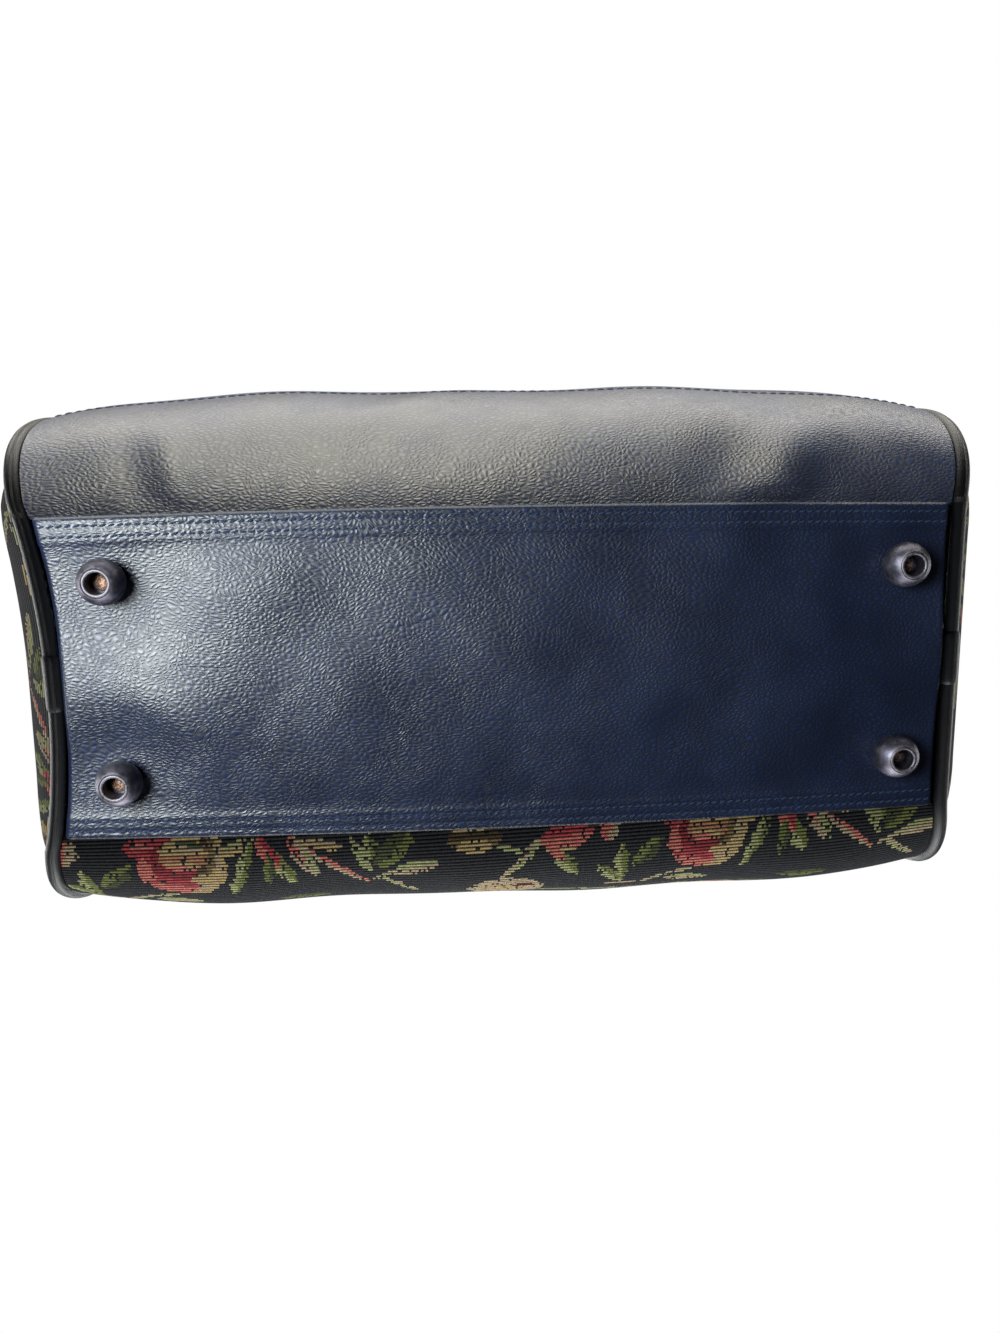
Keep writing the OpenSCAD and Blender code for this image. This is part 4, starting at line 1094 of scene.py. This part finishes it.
# Stage. A pale floor that only the camera sees and that is clear from below, so that the view from under
# the bag looks through it, and white surroundings. A window behind the bag gives the glare on the leather,
# and each lamp lights only the pieces that it is meant for.
floor_mesh = bpy.data.meshes.new("floor")
FLOOR_HALF = 20.0
corners = [(x * FLOOR_HALF, y * FLOOR_HALF, 0) for x, y in ((-1, -1), (1, -1), (1, 1), (-1, 1))]
floor_mesh.from_pydata(corners, [], [(0, 1, 2, 3)])
floor = bpy.data.objects.new("floor", floor_mesh)
bpy.context.scene.collection.objects.link(floor)
floor_finish, tree, shader = new_finish("pale_floor", Roughness=0.9)
shader.inputs["Base Color"].default_value = paint("e9e9e6")
clear = tree.nodes.new("ShaderNodeBsdfTransparent")
back_face = tree.nodes.new("ShaderNodeNewGeometry").outputs["Backfacing"]
one_way = put(tree, "ShaderNodeMixShader", {0: back_face, 1: shader.outputs[0], 2: clear.outputs[0]})
tree.links.new(one_way.outputs[0], tree.nodes["Material Output"].inputs["Surface"])
floor_mesh.materials.append(floor_finish)
for ray in ("diffuse", "glossy", "transmission", "shadow", "volume_scatter"):
    setattr(floor, "visible_" + ray, False)

world = bpy.data.worlds.new("studio")
world.use_nodes = True
bpy.context.scene.world = world
sky = world.node_tree
sky.nodes.clear()
seen = put(sky, "ShaderNodeBackground", {"Color": (1, 1, 1, 1), "Strength": 1.0})
light = put(sky, "ShaderNodeBackground", {"Color": (0.93, 0.96, 1.0, 1), "Strength": 0.035})
by_camera = put(sky, "ShaderNodeLightPath").outputs["Is Camera Ray"]
both = put(sky, "ShaderNodeMixShader", {0: by_camera, 1: light.outputs[0], 2: seen.outputs[0]})
put(sky, "ShaderNodeOutputWorld", {"Surface": both.outputs[0]})


def add_lamp(name, kind, place, aim, power, colour, lit, **settings):
    """A lamp that points at a place and lights only the objects of a collection."""
    data = bpy.data.lights.new(name, kind)
    data.energy, data.color = power, colour
    for key, value in settings.items():
        setattr(data, key, value)
    lamp = bpy.data.objects.new(name, data)
    lamp.location = place
    lamp.rotation_euler = (Vector(aim) - Vector(place)).to_track_quat("-Z", "Y").to_euler()
    lamp.visible_camera = False
    lamp.light_linking.receiver_collection = lit
    bpy.context.scene.collection.objects.link(lamp)


def light_group(name, state, *pieces):
    """A collection of pieces that a lamp lights alone (INCLUDE) or leaves out (EXCLUDE)."""
    group = bpy.data.collections.new(name)
    for piece in pieces:
        group.objects.link(piece)
    for held in group.collection_objects:
        held.light_linking.link_state = state
    return group


floor_only = light_group("floor_only", "INCLUDE", floor)
back_only = light_group("back_only", "INCLUDE", back_lower, back_stitches)
all_but_floor = light_group("all_but_floor", "EXCLUDE", floor)
all_but_base = light_group("all_but_base", "EXCLUDE", floor, base_panel, base_stitches)
low_window_lit = light_group("low_window_lit", "EXCLUDE", floor, back_lower, back_stitches, front_panel,
                             *end_panels, *pipings)
white, warm, cool, pale = (1.0, 1.0, 1.0), (1.0, 0.96, 0.87), (0.93, 1.0, 0.985), (1.0, 0.96, 0.80)
add_lamp("floor_light", "SUN", (0.2, -0.3, 2.0), (0, 0, 0), 3.3, white, floor_only, angle=math.radians(50))
add_lamp("window_low", "AREA", (0.42, 0.16, -0.47), (0.10, 0.02, 0.02), 12.5, cool, low_window_lit, size=0.36)
add_lamp("side_fill", "AREA", (1.3, -0.2, 0.35), (0.2, 0, 0.1), 12, white, all_but_floor, size=0.8)
add_lamp("far_side_fill", "AREA", (-1.3, -0.2, 0.45), (-0.2, 0, 0.1), 6, white, all_but_floor, size=0.8)
add_lamp("window_back", "AREA", (0.10, 1.00, -0.14), (0.05, 0.07, 0.03), 16, pale, back_only,
         shape="RECTANGLE", size=0.95, size_y=0.66)
add_lamp("window_sill", "AREA", (0.17, 0.64, -0.78), (0.12, 0.07, 0.03), 20, pale, back_only,
         shape="RECTANGLE", size=0.45, size_y=0.9)
add_lamp("window_high", "AREA", (0.00, 1.00, 0.45), (0, 0, 0.10), 32, warm, all_but_floor, shape="RECTANGLE",
         size=2.4, size_y=0.8)
add_lamp("floor_bounce", "AREA", (0.0, -1.20, -0.35), (0, 0, 0.02), 17, white, all_but_base, size=1.0)
add_lamp("overhead", "AREA", (-0.3, -0.5, 1.5), (0, 0, 0.1), 40, white, all_but_floor, size=1.2)
add_lamp("front_fill", "AREA", (0.2, -1.3, 0.3), (0, 0, 0.1), 13, white, all_but_floor, size=1.0)
bpy.context.scene.view_settings.view_transform = "Standard"
